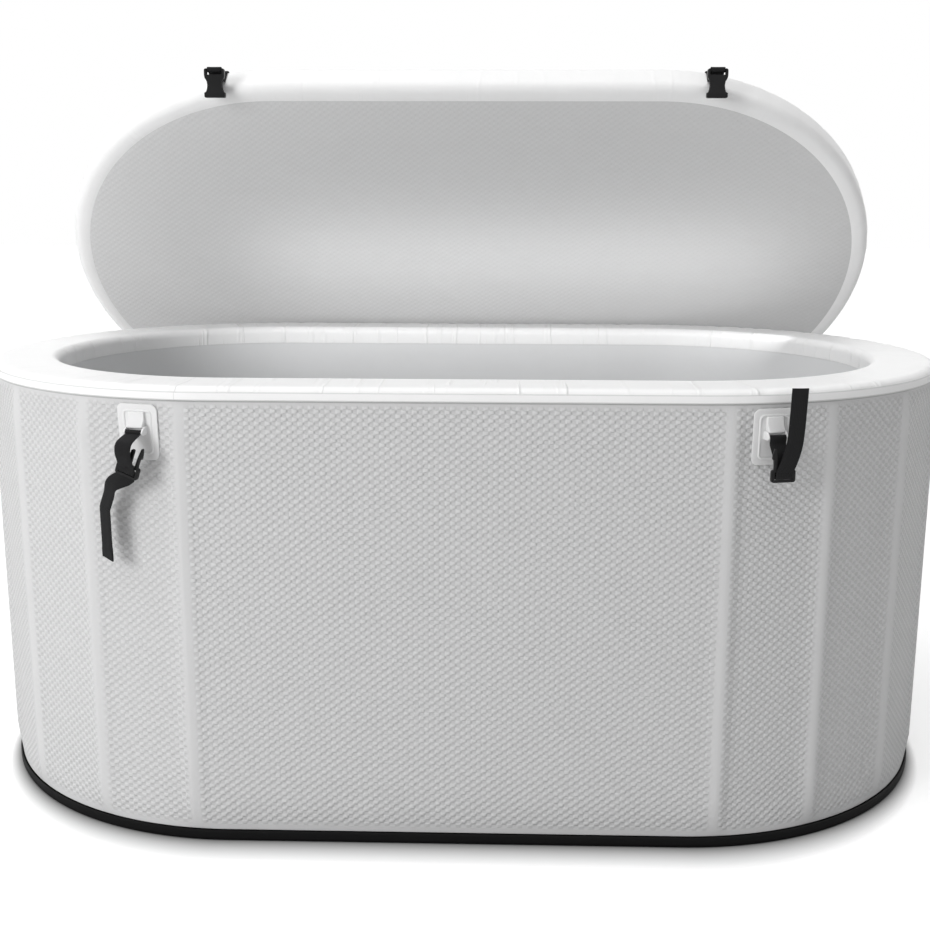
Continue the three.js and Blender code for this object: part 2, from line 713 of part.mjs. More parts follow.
// Front straps as photographed: one tail hangs down, the other is turned up over the rim
function frontWebbing(turnedUp, outward) {
  const slotZ = -maleDrop - maleBarHeight / 2 - maleSlotHeight / 2;
  const [wallSide, outSide] = [-maleOut + plyOffset, -maleOut - plyOffset];
  const drift = outward * maleDrift;
  const leaving = -pinStandoff - eyeRadius;
  const points = arc(-pinStandoff, 0, eyeRadius, -eyeShut, Math.PI, eyeSteps);
  const bend = (side, height, start, end) => arc(side, height, webThickness, start, end, cornerSteps, drift);
  if (turnedUp) {
    const tailTop = patchSlotDrop + rimOuterDrop + weltHeight;
    const low = -maleDrop * slackShares[0];
    points.push(new THREE.Vector3(0, leaving, low));
    points.push(new THREE.Vector3(drift * slackShares[1], wallSide + webThickness, -maleDrop * slackShares[1]));
    points.push(new THREE.Vector3(drift, wallSide, slotZ + 2 * maleSlotHeight));
    points.push(...bend(wallSide - webThickness, slotZ + webThickness, 0, -Math.PI / 2));
    points.push(...bend(outSide + webThickness, slotZ + webThickness, -Math.PI / 2, -Math.PI));
    const rise = outward * climbDrift - drift;
    points.push(...smooth([
      new THREE.Vector3(drift, outSide, slotZ + 2 * maleSlotHeight),
      new THREE.Vector3(drift + rise * climbShares[0], outSide - webThickness, low),
      new THREE.Vector3(drift + rise * climbShares[1], outSide - webThickness, tailTop * climbShares[0]),
      new THREE.Vector3(drift + rise, outSide - 2 * webThickness, tailTop),
    ], climbSteps));
    return webbing(points);
  }
  const bar = new THREE.Vector3(drift, 0, -maleDrop);
  const upright = new THREE.Vector3(0, 1, 0);
  const lean = -outward * maleLean;
  const leaning = (point) => point.sub(bar).applyAxisAngle(upright, lean).add(bar);
  const leans = points.map(() => 0);
  const loopOut = maleOut + loopSlack;
  const loop = smooth([
    new THREE.Vector3(0, leaving, -webThickness),
    new THREE.Vector3(drift * loopShares[0], -loopOut + webThickness, -maleDrop * loopShares[0]),
    new THREE.Vector3(outward * loopDrift, -loopOut, -maleDrop * loopShares[1]),
    leaning(new THREE.Vector3(drift, outSide, slotZ + 2 * maleSlotHeight)),
  ], loopSteps);
  points.push(...loop);
  leans.push(...loop.map((point, i) => (lean * i) / loopSteps));
  const through = [
    ...bend(outSide + webThickness, slotZ + webThickness, -Math.PI, -Math.PI / 2),
    ...bend(wallSide - webThickness, slotZ - webThickness, Math.PI / 2, 0),
  ];
  points.push(...through.map(leaning));
  leans.push(...through.map(() => lean));
  const sway = outward * fallDrift - drift;
  const below = fallShares.map((share, i) => new THREE.Vector3(
    drift + sway * fallDriftShares[i],
    wallSide + (i ? maleBaseThickness : webThickness),
    -maleDrop * share,
  ));
  const start = leaning(new THREE.Vector3(drift, wallSide, slotZ - 2 * maleSlotHeight));
  const fall = smooth([start, ...below], loopSteps);
  points.push(...fall);
  leans.push(...fall.map((point, i) => lean * (1 - i / loopSteps)));
  return webbing(points, leans);
}

for (const [side, name, turnedUp] of [[-1, 'left', false], [1, 'right', true]]) {
  const place = station(tubPlan, side * frontStrapX);
  place.position.z = frontPinHeight;
  part.add(place);
  add(place, `front_strap_${name}`, frontWebbing(turnedUp, side), webBlack);
  const male = add(place, `front_male_${name}`, maleGeometry(), buckleBlack);
  male.position.set(side * maleDrift, -maleOut, -maleDrop);
  male.rotation.y = turnedUp ? 0 : -side * maleLean;
}

// Lid, opened as photographed; its own frame has the closed lid's middle at the origin
const lid = new THREE.Group();
lid.position.set(0, lidEdgeBack, lidEdgeHeight);
lid.rotation.x = -lidOpenAngle;
const lidBody = new THREE.Group();
lidBody.position.y = -lidPlan.width / 2;
lid.add(lidBody);
part.add(lid);

const lidHalf = lidThickness / 2;
const lidCoreInset = lidSkinThickness + seat;
const lidCoreHalf = lidHalf - lidCoreInset;
const lidCoreRadius = lidEdgeRadius - lidCoreInset;
function lidCoreLevels() {
  const centre = lidCoreInset + lidCoreRadius;
  const levels = [];
  for (let i = 0; i <= cornerSteps; i++) {
    const turn = (Math.PI / 2) * (i / cornerSteps);
    levels.push([centre - lidCoreRadius * Math.sin(turn), -lidCoreHalf + lidCoreRadius * (1 - Math.cos(turn))]);
  }
  return [...levels, ...levels.map(([inset, height]) => [inset, -height]).reverse()];
}
function lidValveHole(radius, low, high) {
  const geometry = new THREE.CylinderGeometry(radius, radius, high - low, roundSides).rotateX(Math.PI / 2);
  return geometry.translate(lidValveX, lidPlan.width / 2 - lidValveInset, (low + high) / 2);
}
const lidCore = plate(lidPlan, lidCoreLevels());
const valveSocket = lidValveHole(valveBodyRadius + seat, lidCoreHalf - valveBodyDepth, lidHalf + overrun);
add(lidBody, 'lid_core', cut(lidCore, valveSocket), coreGrey);
const topSkin = plate(lidPlan, [[lidBorder, lidHalf - lidSkinThickness], [lidBorder, lidHalf]]);
const skinHole = lidValveHole(valveBodyRadius + seat, lidHalf - lidCoreInset, lidHalf + overrun);
add(lidBody, 'lid_top_skin', cut(topSkin, skinHole), lidWhite);
const underside = plate(lidPlan, [[lidBorder, -lidHalf], [lidBorder, -lidHalf + lidSkinThickness]]);
add(lidBody, 'lid_underside', underside, undersideGrey);

const bandInner = lidBorder - seat;
const edgeSection = [
  [bandInner, -lidHalf],
  ...corner(lidEdgeRadius, -lidHalf + lidEdgeRadius, lidEdgeRadius, Math.PI).reverse(),
  ...corner(lidEdgeRadius, lidHalf - lidEdgeRadius, lidEdgeRadius, Math.PI / 2).reverse(),
  [bandInner, lidHalf],
  [bandInner, lidHalf - lidSkinThickness],
  ...corner(lidEdgeRadius, lidHalf - lidEdgeRadius, lidEdgeRadius - lidSkinThickness, Math.PI / 2),
  ...corner(lidEdgeRadius, -lidHalf + lidEdgeRadius, lidEdgeRadius - lidSkinThickness, Math.PI),
  [bandInner, -lidHalf + lidSkinThickness],
];
add(lidBody, 'lid_edge_band', ring(lidPlan, edgeSection), rimWhite);

// Lid patches and the webbing tabs that carry the buckle bars over the lid's edge
const barRadius = Math.hypot(femaleBarRise, femaleBarThickness / 2);
function lidPatchGeometry() {
  const low = lidHalf + seat;
  const middle = lidPatchEdgeGap + lidPatchLength / 2;
  const outline = roundedOutline(lidPatchWidth, lidPatchLength, patchRadius, 0, middle);
  const options = { depth: lidPatchThickness, bevelEnabled: false, curveSegments: cornerSteps };
  const base = new THREE.ExtrudeGeometry(outline, options);
  base.translate(0, 0, low);
  const pocketHalf = lidPocketWidth / 2;
  const mouthY = lidPatchEdgeGap + webThickness;
  const pocket = box(-pocketHalf, pocketHalf, mouthY, mouthY + lidPocketLength, low, low + lidPocketHeight);
  const [slotLow, slotHigh] = [low + lidPatchThickness, low + lidPatchThickness + webThickness + 2 * seat];
  const slotDepth = lidPocketLength / 2 + seat;
  const slot = box(-slotWidth / 2, slotWidth / 2, mouthY - overrun, mouthY + slotDepth, slotLow, slotHigh);
  return cut(shape(join(base, pocket)), slot);
}

function tabGeometry(reach, barDrop) {
  const top = lidHalf + seat + lidPatchThickness + seat + webThickness / 2;
  const inner = lidPatchEdgeGap + webThickness + lidPocketLength / 2;
  const faceY = -tabStandoff;
  const turnRadius = lidEdgeRadius + tabStandoff;
  const eye = barRadius + webClearance + webThickness / 2;
  const barZ = -barDrop;
  const points = [
    new THREE.Vector3(0, inner, top),
    new THREE.Vector3(0, lidEdgeRadius, top),
    ...arc(lidEdgeRadius, top - turnRadius, turnRadius, Math.PI / 2, Math.PI, 2 * cornerSteps).slice(1),
    new THREE.Vector3(0, faceY, barZ + 2 * eye + webThickness),
    new THREE.Vector3(0, -reach / 2 - webThickness, barZ + eye + webThickness / 2),
    ...arc(-reach, barZ, eye, Math.PI / 2, (5 * Math.PI) / 2 - 2 * eyeShut, eyeSteps),
  ];
  return webbing(points);
}

for (const [side, name] of [[-1, 'left'], [1, 'right']]) {
  const back = station(lidPlan, side * backStrapX, true);
  // The front tabs run straight, so they clear the curved edge where it reaches out the most
  const front = station(lidPlan, side * (lidBuckleX - webWidth / 2));
  front.position.x = side * lidBuckleX;
  front.rotation.z = 0;
  for (const [place, row, reach, drop] of [[front, 'front', frontBarOut, frontBarDrop], [back, 'back', barOut,
    backBarDrop]]) {
    lidBody.add(place);
    add(place, `lid_patch_${row}_${name}`, lidPatchGeometry(), patchGrey);
    add(place, `lid_tab_${row}_${name}`, tabGeometry(reach, drop), webBlack);
  }
  const female = add(front, `lid_female_${name}`, femaleGeometry(), buckleBlack);
  female.position.set(0, -frontBarOut, -frontBarDrop);
  female.rotation.x = lidOpenAngle;
}

// Air valve set: body, sprung plunger and cap, drawn about Z with the fabric's face at zero
function valveBody() {
  const neck = valveFlangeThickness + valveNeckHeight;
  return turned([
    [valveStemBore, -valveBodyDepth],
    [valveBodyRadius, -valveBodyDepth],
    [valveBodyRadius, seat],
    [valveFlangeRadius, seat],
    [valveFlangeRadius, valveFlangeThickness],
    [valveNeckRadius, valveFlangeThickness],
    [valveNeckRadius, neck],
    [valveBore, neck],
    [valveBore, -valveBodyDepth + valveShelf],
    [valveStemBore, -valveBodyDepth + valveShelf],
  ]);
}

function valvePlunger() {
  const head = valveFlangeThickness;
  return turned([
    [0, head - plungerThickness - plungerStemLength],
    [plungerStem, head - plungerThickness - plungerStemLength],
    [plungerStem, head - plungerThickness],
    [plungerRadius, head - plungerThickness],
    [plungerRadius, head],
    [0, head],
  ]);
}

function capGeometry(radius, neckRadius, neckHeight) {
  const foot = valveFlangeThickness + capGap;
  const ceiling = valveFlangeThickness + neckHeight + capGap;
  const cap = turned([
    [0, ceiling],
    [neckRadius + capGap, ceiling],
    [neckRadius + capGap, foot],
    [radius, foot],
    [radius, ceiling + capTop - capRibRadius],
    [radius - capRibRadius, ceiling + capTop],
    [0, ceiling + capTop],
  ]);
  const ribs = [];
  for (let i = 0; i < capRibs; i++) {
    const turn = (2 * Math.PI * i) / capRibs;
    const rib = new THREE.CylinderGeometry(capRibRadius, capRibRadius, ceiling - foot, nutSides);
    rib.rotateX(Math.PI / 2);
    ribs.push(rib.translate(radius * Math.cos(turn), radius * Math.sin(turn), (ceiling + foot) / 2));
  }
  return joined(cap, ...ribs);
}

function addValve(parent, prefix) {
  add(parent, `${prefix}_valve_body`, valveBody(), valveGrey);
  add(parent, `${prefix}_valve_plunger`, valvePlunger(), valveGrey);
  add(parent, `${prefix}_valve_cap`, capGeometry(capRadius, valveNeckRadius, valveNeckHeight), valveGrey);
}

const tubValve = new THREE.Group();
tubValve.position.set(valveX, backFace, valveHeight);
tubValve.rotation.x = -Math.PI / 2;
part.add(tubValve);
addValve(tubValve, 'tub');

const lidValve = new THREE.Group();
lidValve.position.set(lidValveX, lidPlan.width / 2 - lidValveInset, lidHalf);
lidBody.add(lidValve);
addValve(lidValve, 'lid');

// Drain through the back wall: flanged tube, inner gasket and nut, and a screw cap
const drain = new THREE.Group();
drain.position.set(drainX, backFace, drainHeight);
drain.rotation.x = -Math.PI / 2;
part.add(drain);
const drainInside = -wallThickness - seat;
const drainEnd = drainInside - drainGasket - seat - drainNutThickness;
const drainBody = turned([
  [drainBore, drainEnd],
  [drainTubeRadius, drainEnd],
  [drainTubeRadius, seat],
  [drainFlangeRadius, seat],
  [drainFlangeRadius, valveFlangeThickness],
  [drainNeckRadius, valveFlangeThickness],
  [drainNeckRadius, valveFlangeThickness + drainNeckHeight],
  [drainBore, valveFlangeThickness + drainNeckHeight],
]);
add(drain, 'drain_body', drainBody, valveGrey);
const nutBore = drainTubeRadius + seat;
const gasketLow = drainInside - drainGasket;
const gasket = turned([
  [nutBore, gasketLow],
  [drainNutRadius, gasketLow],
  [drainNutRadius, drainInside],
  [nutBore, drainInside],
]);
add(drain, 'drain_gasket', gasket, gasketBlack);
const nutTop = gasketLow - seat;
const nut = new THREE.CylinderGeometry(drainNutRadius, drainNutRadius, nutTop - drainEnd, nutSides);
const nutHole = new THREE.CylinderGeometry(nutBore, nutBore, 2 * drainNutThickness, roundSides);
const nutMiddle = (nutTop + drainEnd) / 2;
const nutBody = cut(nut, nutHole).rotateX(Math.PI / 2).translate(0, 0, nutMiddle);
add(drain, 'drain_nut', nutBody, valveGrey);
add(drain, 'drain_cap', capGeometry(drainCapRadius, drainNeckRadius, drainNeckHeight), valveGrey);

export default part;
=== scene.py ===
"""Dresses the oval inflatable bathtub: its fabric walls, rim, lid, straps, buckles and fittings."""

import json
import math

import bmesh
import bpy
from bpy.props import FloatProperty, FloatVectorProperty, PointerProperty
from mathutils import Matrix, Vector
from mathutils.geometry import interpolate_bezier


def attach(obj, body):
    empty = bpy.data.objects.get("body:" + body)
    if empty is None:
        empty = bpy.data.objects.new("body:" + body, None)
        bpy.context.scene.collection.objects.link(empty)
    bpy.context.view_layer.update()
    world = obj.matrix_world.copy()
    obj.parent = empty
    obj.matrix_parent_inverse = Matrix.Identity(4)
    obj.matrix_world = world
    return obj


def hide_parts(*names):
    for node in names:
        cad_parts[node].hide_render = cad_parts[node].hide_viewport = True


bl_info = {
    "name": "Inflatable bathtub",
    "version": (1, 0, 0),
    "blender": (4, 5, 0),
    "location": "View3D > Sidebar > Bathtub",
    "description": "Models the fabric, lid, straps and fittings of an oval inflatable bathtub",
    "category": "Object",
}

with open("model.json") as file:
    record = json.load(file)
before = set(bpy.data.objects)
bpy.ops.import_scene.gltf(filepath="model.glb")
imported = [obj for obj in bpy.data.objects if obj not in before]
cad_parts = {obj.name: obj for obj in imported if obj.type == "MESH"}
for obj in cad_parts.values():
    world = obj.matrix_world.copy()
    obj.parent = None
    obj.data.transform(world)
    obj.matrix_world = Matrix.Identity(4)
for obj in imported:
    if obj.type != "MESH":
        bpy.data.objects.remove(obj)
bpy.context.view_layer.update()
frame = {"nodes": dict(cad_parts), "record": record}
SIDES = ((-1, "left"), (1, "right"))


# Settings


def metres(name, description, default):
    return FloatProperty(name=name, description=description, default=default, unit="LENGTH", precision=4)


def degrees(name, description, turn):
    turn = math.radians(turn)
    return FloatProperty(name=name, description=description, default=turn, subtype="ANGLE", unit="ROTATION")


def amount(name, description, default, most=10.0):
    return FloatProperty(name=name, description=description, default=default, min=0, max=most)


def watts(name, description, default):
    return FloatProperty(name=name, description=description, default=default, unit="POWER")


def paint(name, description, *default):
    return FloatVectorProperty(name=name, description=description, default=default, subtype="COLOR",
                               min=0, max=1)


def position(name, description, *default):
    return FloatVectorProperty(name=name, description=description, default=default, subtype="TRANSLATION",
                               unit="LENGTH")


class TubSizes(bpy.types.PropertyGroup):
    """Sizes of the tub's wall, rim and base."""

    length: metres("Length", "Outside length", 1.6)
    width: metres("Width", "Outside width", 0.91)
    height: metres("Height", "Top of the rim", 0.7)
    wall: metres("Wall", "Thickness of the inflated wall", 0.105)
    cover_drop: metres("Cover drop", "The white cover comes down outside by this", 0.02)
    cover_inside: metres("Cover inside", "The white cover goes down inside by this", 0.032)
    rim_radius: metres("Rim radius", "Rounding of the rim's edges", 0.014)
    welt: metres("Welt", "Height of the welt under the rim", 0.013)
    band: metres("Band", "Height of the black foot band", 0.017)
    fabric: metres("Fabric", "Thickness of the coated fabric", 0.0009)
    seam: metres("Seam", "Gap between neighbouring fabrics", 0.0003)
    floor_top: metres("Floor top", "Top of the inflated floor", 0.0523)
    liner_foot: metres("Liner foot", "The liner ends here, behind the floor's round edge", 0.004)
    crease_proud: metres("Crease height", "A crease stands this far off the oval", 0.005)
    crease_near: metres("Crease lee", "Width of a crease's steep side", 0.009)
    crease_far: metres("Crease rise", "Width of a crease's gentle side", 0.016)
    front_crease: metres("Front crease", "From the wall's front middle to its first crease", 0.398)
    middle_crease: metres("Middle crease", "The same to the second", 0.556)
    side_crease: metres("Side crease", "The same to the third", 0.724)
    end_crease: metres("End crease", "The same to the fourth", 0.89)
    weld: metres("Weld", "Width of the smooth band along a crease", 0.024)
    overlap: metres("Overlap", "Where the rim's cover overlaps itself", -0.397)
    flatness: amount("Flatness", "1 makes the panels between creases flat", 0.75, 1)
    emboss_pitch: metres("Emboss pitch", "Between the dimples of a row", 0.0155)
    emboss_row: metres("Emboss row", "Between rows of dimples", 0.006)


class LidSizes(bpy.types.PropertyGroup):
    """Sizes and place of the lid."""

    inset: metres("Inset", "The lid's outline lies this far inside the tub's", 0.01)
    thickness: metres("Thickness", "Thickness of the inflated lid", 0.06)
    edge_radius: metres("Edge radius", "Rounding of the lid's edge", 0.017)
    border: metres("Border", "White border round the underside", 0.028)
    opening: degrees("Opening", "Angle from closed", 49.8)
    edge_back: metres("Edge back", "The back edge, behind the tub's middle", 0.678)
    edge_height: metres("Edge height", "Height of the back edge", 0.489)
    bar_out: metres("Back bar reach", "Back buckle bars off the edge", 0.02)
    bar_drop: metres("Back bar drop", "Back buckle bars under the lid's middle plane", 0.036)
    front_out: metres("Front bar reach", "Front buckle bars off the edge", 0.034)
    front_drop: metres("Front bar drop", "Front buckle bars under the lid's middle plane", 0.02)
    front_x: metres("Front place", "Front buckles from the middle", 0.436)
    tab_inner: metres("Tab length", "The tabs' ends from the outline", 0.0365)
    tab_off: metres("Tab clearance", "Tabs off the edge", 0.0022)
    tab_eye: metres("Tab eye", "A tab's loop round its bar", 0.004)


class StrapSizes(bpy.types.PropertyGroup):
    """Sizes of the webbing and places of the straps."""

    width: metres("Width", "Width of the webbing", 0.025)
    thickness: metres("Thickness", "Thickness of the webbing", 0.0015)
    front_x: metres("Front place", "Front straps from the middle", 0.455)
    back_x: metres("Back place", "Back straps from the middle", 0.3)
    front_pin: metres("Front pin", "Height of the front pins", 0.633)
    back_pin: metres("Back pin", "Height of the back pins", 0.491744)
    pin_out: metres("Pin standoff", "Pins off the wall", 0.01)
    pin: metres("Pin", "Radius of a pin", 0.002)
    eye: metres("Eye", "Radius of the loop round a pin", 0.00315)
    male_out: metres("Buckle standoff", "Front buckles off the wall", 0.027)
    male_drop: metres("Buckle drop", "Front buckles under their pin", 0.052)
    male_drift: metres("Buckle drift", "Front buckles sideways from their pin", 0.003)
    male_lean: degrees("Buckle lean", "The hanging buckle leans to the middle", 20)
    slot_drop: metres("Slot", "A buckle's slot from its middle bar", 0.0037)
    slot: metres("Slot height", "Height of a buckle's slot", 0.004)
    ply: metres("Ply", "A ply of webbing from a buckle's middle plane", 0.00415)
    climb: metres("Climb", "Top of the turned-up tail above its pin", 0.073)
    climb_drift: metres("Climb drift", "Top of that tail sideways from its pin", 0.019)
    fold_drift: metres("Fold drift", "Fold of the hanging tail sideways from its pin", 0.049)
    fold_drop: metres("Fold drop", "Fold of the hanging tail under its pin", 0.113)
    fall_drop: metres("Fall drop", "End of the hanging tail under its pin", 0.188)
    fall_turn: degrees("Fall turn", "The hanging tail turns out of the wall's line", 24)
    loop_drift: metres("Loop drift", "The slack loop swings sideways", 0.003)
    slack: metres("Slack", "The slack loop bulges off its buckle", 0.012)
    tail: metres("Tail", "Folded tail of a back strap", 0.07)
    tail_gap: metres("Tail gap", "A folded tail off its strap", 0.003)
    clip: metres("Clip", "Half height of a male half's base", 0.0091)
    link: metres("Link", "From a back pin to the lid's buckle bar", 0.202656)
    mated: metres("Mated", "Between the bars of two halves pushed together", 0.0564)
    link_turn: degrees("Link turn", "Back straps from upright", -101.746186)


class PatchSizes(bpy.types.PropertyGroup):
    """Sizes of the welded patches that hold the straps."""

    width: metres("Width", "Width of a patch", 0.064)
    height: metres("Height", "Height of a patch", 0.082)
    corner: metres("Corner", "Radius of a patch's corners", 0.01)
    rise: metres("Rise", "A patch's top edge above its pin", 0.04)
    plate: metres("Plate", "Thickness of the welded plate", 0.0013)
    frame_width: metres("Frame width", "Width of the raised frame", 0.047)
    frame_height: metres("Frame height", "Height of the raised frame", 0.066)
    frame_band: metres("Frame band", "Width of the frame's own band", 0.004)
    pad_top: metres("Pad top", "From the top edge to the pad", 0.009)
    pad_lip: metres("Pad lip", "The pad's lip off the wall", 0.009)
    pad_flat: metres("Pad flat", "The pad's upper part off the wall", 0.003)
    pad_slope: metres("Pad slope", "From the top edge to the pad's slope", 0.022)
    pad_clear: metres("Pad clearance", "The pad's lip above the pin", 0.006)
    root: metres("Root", "The pad and the ears reach this deep behind the oval", 0.008)
    ear: metres("Ear", "Thickness of the ears that hold the pin", 0.0024)
    ear_reach: metres("Ear reach", "The ears go this far past the pin", 0.004)
    ear_rise: metres("Ear rise", "The ears' height above the pin", 0.008)
    lid_length: metres("Lid patch length", "Length of the lid's patches", 0.06)
    lid_gap: metres("Lid patch gap", "From the lid's outline to its patches", 0.02)
    lid_pocket: metres("Lid pocket", "Height of the lid's webbing pockets", 0.005)


class FittingSizes(bpy.types.PropertyGroup):
    """Places and bores of the valves and the drain."""

    valve_x: metres("Valve place", "The tub's valve to the right of the middle", -0.25)
    valve_height: metres("Valve height", "Height of the tub's valve", 0.12)
    valve_bore: metres("Valve bore", "Radius of a valve's hole", 0.0213)
    drain_x: metres("Drain place", "Drain to the right of the middle", 0.25)
    drain_height: metres("Drain height", "Height of the drain", 0.084)
    drain_bore: metres("Drain bore", "Radius of the drain's hole", 0.0173)
    lid_valve_x: metres("Lid valve place", "Lid valve to the right of the middle", 0.25)
    lid_valve_inset: metres("Lid valve inset", "From the lid's back edge to its valve", 0.15)
    edge: metres("Edge", "Rounding of moulded edges", 0.0005)


class Finishes(bpy.types.PropertyGroup):
    """Colours of the fabrics and fittings."""

    wall: paint("Wall", "Embossed outer fabric", 0.625, 0.625, 0.628)
    rim: paint("Rim", "White rim", 0.89, 0.89, 0.89)
    liner: paint("Liner", "Smooth inner fabric and lid top", 0.73, 0.735, 0.74)
    underside: paint("Underside", "Grey underside of the lid", 0.68, 0.68, 0.682)
    base: paint("Base", "Black band and underside sheet", 0.004, 0.004, 0.0042)
    # The lid's white border is the rim's fabric, made lighter than the rim's as painted light.
    lid_edge: paint("Lid edge", "White border of the lid", 0.94, 0.94, 0.94)
    webbing: paint("Webbing", "Black webbing", 0.011, 0.011, 0.0115)
    buckle: paint("Buckle", "Black moulded buckles", 0.007, 0.007, 0.0074)
    patch: paint("Patch", "White welded patches", 0.76, 0.76, 0.762)
    valve: paint("Valve", "Grey moulded valves", 0.27, 0.28, 0.29)


class StageSizes(bpy.types.PropertyGroup):
    """The camera, the lights and the floor."""

    lens: FloatProperty(name="Lens", description="Focal length, 36 mm frame", default=49.303, unit="CAMERA")
    place: position("Camera", "Where the camera stands", 0.0653, -2.2276, 0.9741)
    pitch: degrees("Pitch", "Camera tilted down", 12.212)
    yaw: degrees("Yaw", "Camera turned right", -1.574)
    roll: degrees("Roll", "Camera rolled", 0.152)
    key: watts("Key light", "Power of the large lamp at the left", 80.0)
    key_size: metres("Key size", "Side of the large lamp", 1.6)
    key_place: position("Key place", "Where the large lamp stands", -2.9, -2.9, 1.9)
    top: amount("Top light", "Strength of the wide light from above", 2.35)
    top_angle: degrees("Top width", "How wide the light from above is", 75)
    top_place: position("Top place", "Where the light from above comes from", -0.4, -0.3, 4.0)
    lift: watts("Lift light", "Power of the lamp that lights the open lid from the tub", 0.6)
    lift_length: metres("Lift length", "Length of that lamp, along the tub", 1.05)
    lift_width: metres("Lift width", "Width of that lamp, less than the closed lid is thick", 0.045)
    lift_place: position("Lift place", "Where that lamp lies, a little above the rim", 0.09, 0.2, 0.725)
    lift_aim: position("Lift aim", "What that lamp points at, low on the lid", 0.09, 0.416, 0.85)
    aim: position("Aim", "What the other lamps point at", 0.0, 0.0, 0.5)
    sky: amount("Sky", "Strength of the even light", 0.12)
    glow: amount("Floor glow", "The camera sees the floor this much brighter", 0.38, 1)
    # The floor's colour holds a painted contact shadow round the tub's foot; these two set how far it
    # reaches.
    contact: metres("Contact shade", "Reach of the shade at the foot along the front", 0.06)
    contact_end: metres("Contact shade at the ends", "Reach of that shade at the tub's ends", 0.016)


def sizes(*groups):
    """The settings of a group by its short name, or of several groups."""
    found = [getattr(bpy.context.scene, "bath_" + group) for group in groups]
    return found if len(found) > 1 else found[0]


# Shader expressions


class Value:
    """A socket that can be used in sums; numbers join it as they are."""

    def __init__(self, tree, made, output):
        self.tree = tree
        self.made = made
        self.socket = made.outputs[output]

    def out(self, output):
        """Another output of the same node."""
        return Value(self.tree, self.made, output)

    def math(self, operation, *others):
        return self.tree.math(operation, self, *others)

    def __add__(self, other):
        return self.math("ADD", other)

    __radd__ = __add__

    def __sub__(self, other):
        return self.math("SUBTRACT", other)

    def __rsub__(self, other):
        return self.tree.math("SUBTRACT", other, self)

    def __mul__(self, other):
        return self.math("MULTIPLY", other)

    def cos(self):
        return self.math("COSINE")

    def size(self):
        return self.math("ABSOLUTE")

    def most(self, other):
        return self.math("MAXIMUM", other)

    def above(self, low, high):
        """0 below low, 1 above high, smooth between."""
        inputs = {"Value": self, "From Min": low, "From Max": high}
        return self.tree.node("ShaderNodeMapRange", {"interpolation_type": "SMOOTHSTEP"}, inputs)

    def near(self, place, inner, outer):
        """1 within inner of a place, 0 beyond outer."""
        return 1 - (self - place).size().above(inner, outer)


class Tree:
    """A node tree in which every node is made by one method."""

    def __init__(self, nodes):
        self.nodes = nodes

    def put(self, socket, value):
        if isinstance(value, Value):
            self.nodes.links.new(value.socket, socket)
        else:
            socket.default_value = value

    def node(self, kind, settings=None, inputs=(), output=0):
        made = self.nodes.nodes.new(kind)
        for key, value in (settings or {}).items():
            setattr(made, key, value)
        pairs = inputs.items() if isinstance(inputs, dict) else enumerate(inputs)
        for key, value in pairs:
            self.put(made.inputs[key], value)
        return Value(self, made, output)

    def math(self, operation, *inputs):
        return self.node("ShaderNodeMath", {"operation": operation}, inputs)

    def mix(self, share, first, second):
        inputs = {"Factor": share, 6: (*first, 1.0), 7: (*second, 1.0)}
        return self.node("ShaderNodeMix", {"data_type": "RGBA"}, inputs, 2)


class Look(Tree):
    """One procedural material: a Principled shader and what feeds it."""

    def __init__(self, name, colour, roughness, **plain):
        self.material = bpy.data.materials.new(name)
        self.material.use_nodes = True
        super().__init__(self.material.node_tree)
        self.shader = self.nodes.nodes["Principled BSDF"]
        self.colour = tuple(colour)
        self.feed("Base Color", (*colour, 1.0))
        self.feed("Roughness", roughness)
        for socket, value in plain.items():
            self.feed(socket.replace("_", " "), value)

    def feed(self, socket, value):
        self.put(self.shader.inputs[socket], value)

    def fabric(self):
        """The piece's own measure of its surface, in metres along and up."""
        place = self.node("ShaderNodeUVMap", {"uv_map": "Fabric"})
        split = self.node("ShaderNodeSeparateXYZ", {}, [place], "X")
        return split, split.out("Y")

    def place(self):
        return self.node("ShaderNodeTexCoord", output="Object")

    def noise(self, place, scale, detail=2.0, roughness=0.5, distortion=0.0):
        inputs = {"Vector": place, "Scale": scale, "Detail": detail, "Roughness": roughness}
        return self.node("ShaderNodeTexNoise", {}, {**inputs, "Distortion": distortion}, "Fac")

    def darken(self, share, factor):
        """Base colour that goes to a darker or lighter one as share goes to 1."""
        other = [min(c * factor, 1.0) for c in self.colour]
        self.feed("Base Color", self.mix(share, self.colour, other))

    def relief(self, height, depth):
        self.feed("Normal", self.node("ShaderNodeBump", {}, {"Height": height, "Distance": depth}, "Normal"))


# Making pieces


def clamp(number):
    return min(1, max(0, number))


def deselect():
    if bpy.context.object and bpy.context.object.mode != "OBJECT":
        bpy.ops.object.mode_set(mode="OBJECT")
    bpy.ops.object.select_all(action="DESELECT")


def only(piece):
    """Makes a piece the only selected and the active one."""
    deselect()
    piece.select_set(True)
    bpy.context.view_layer.objects.active = piece


def renamed(piece, name):
    piece.name = name
    piece.data.name = name
    return piece


def place_selected(piece, places):
    """Puts the selected vertices where they belong, in their own order."""
    mesh = bmesh.from_edit_mesh(piece.data)
    for vertex, place in zip([vertex for vertex in mesh.verts if vertex.select], places):
        vertex.co = place
    bmesh.update_edit_mesh(piece.data)


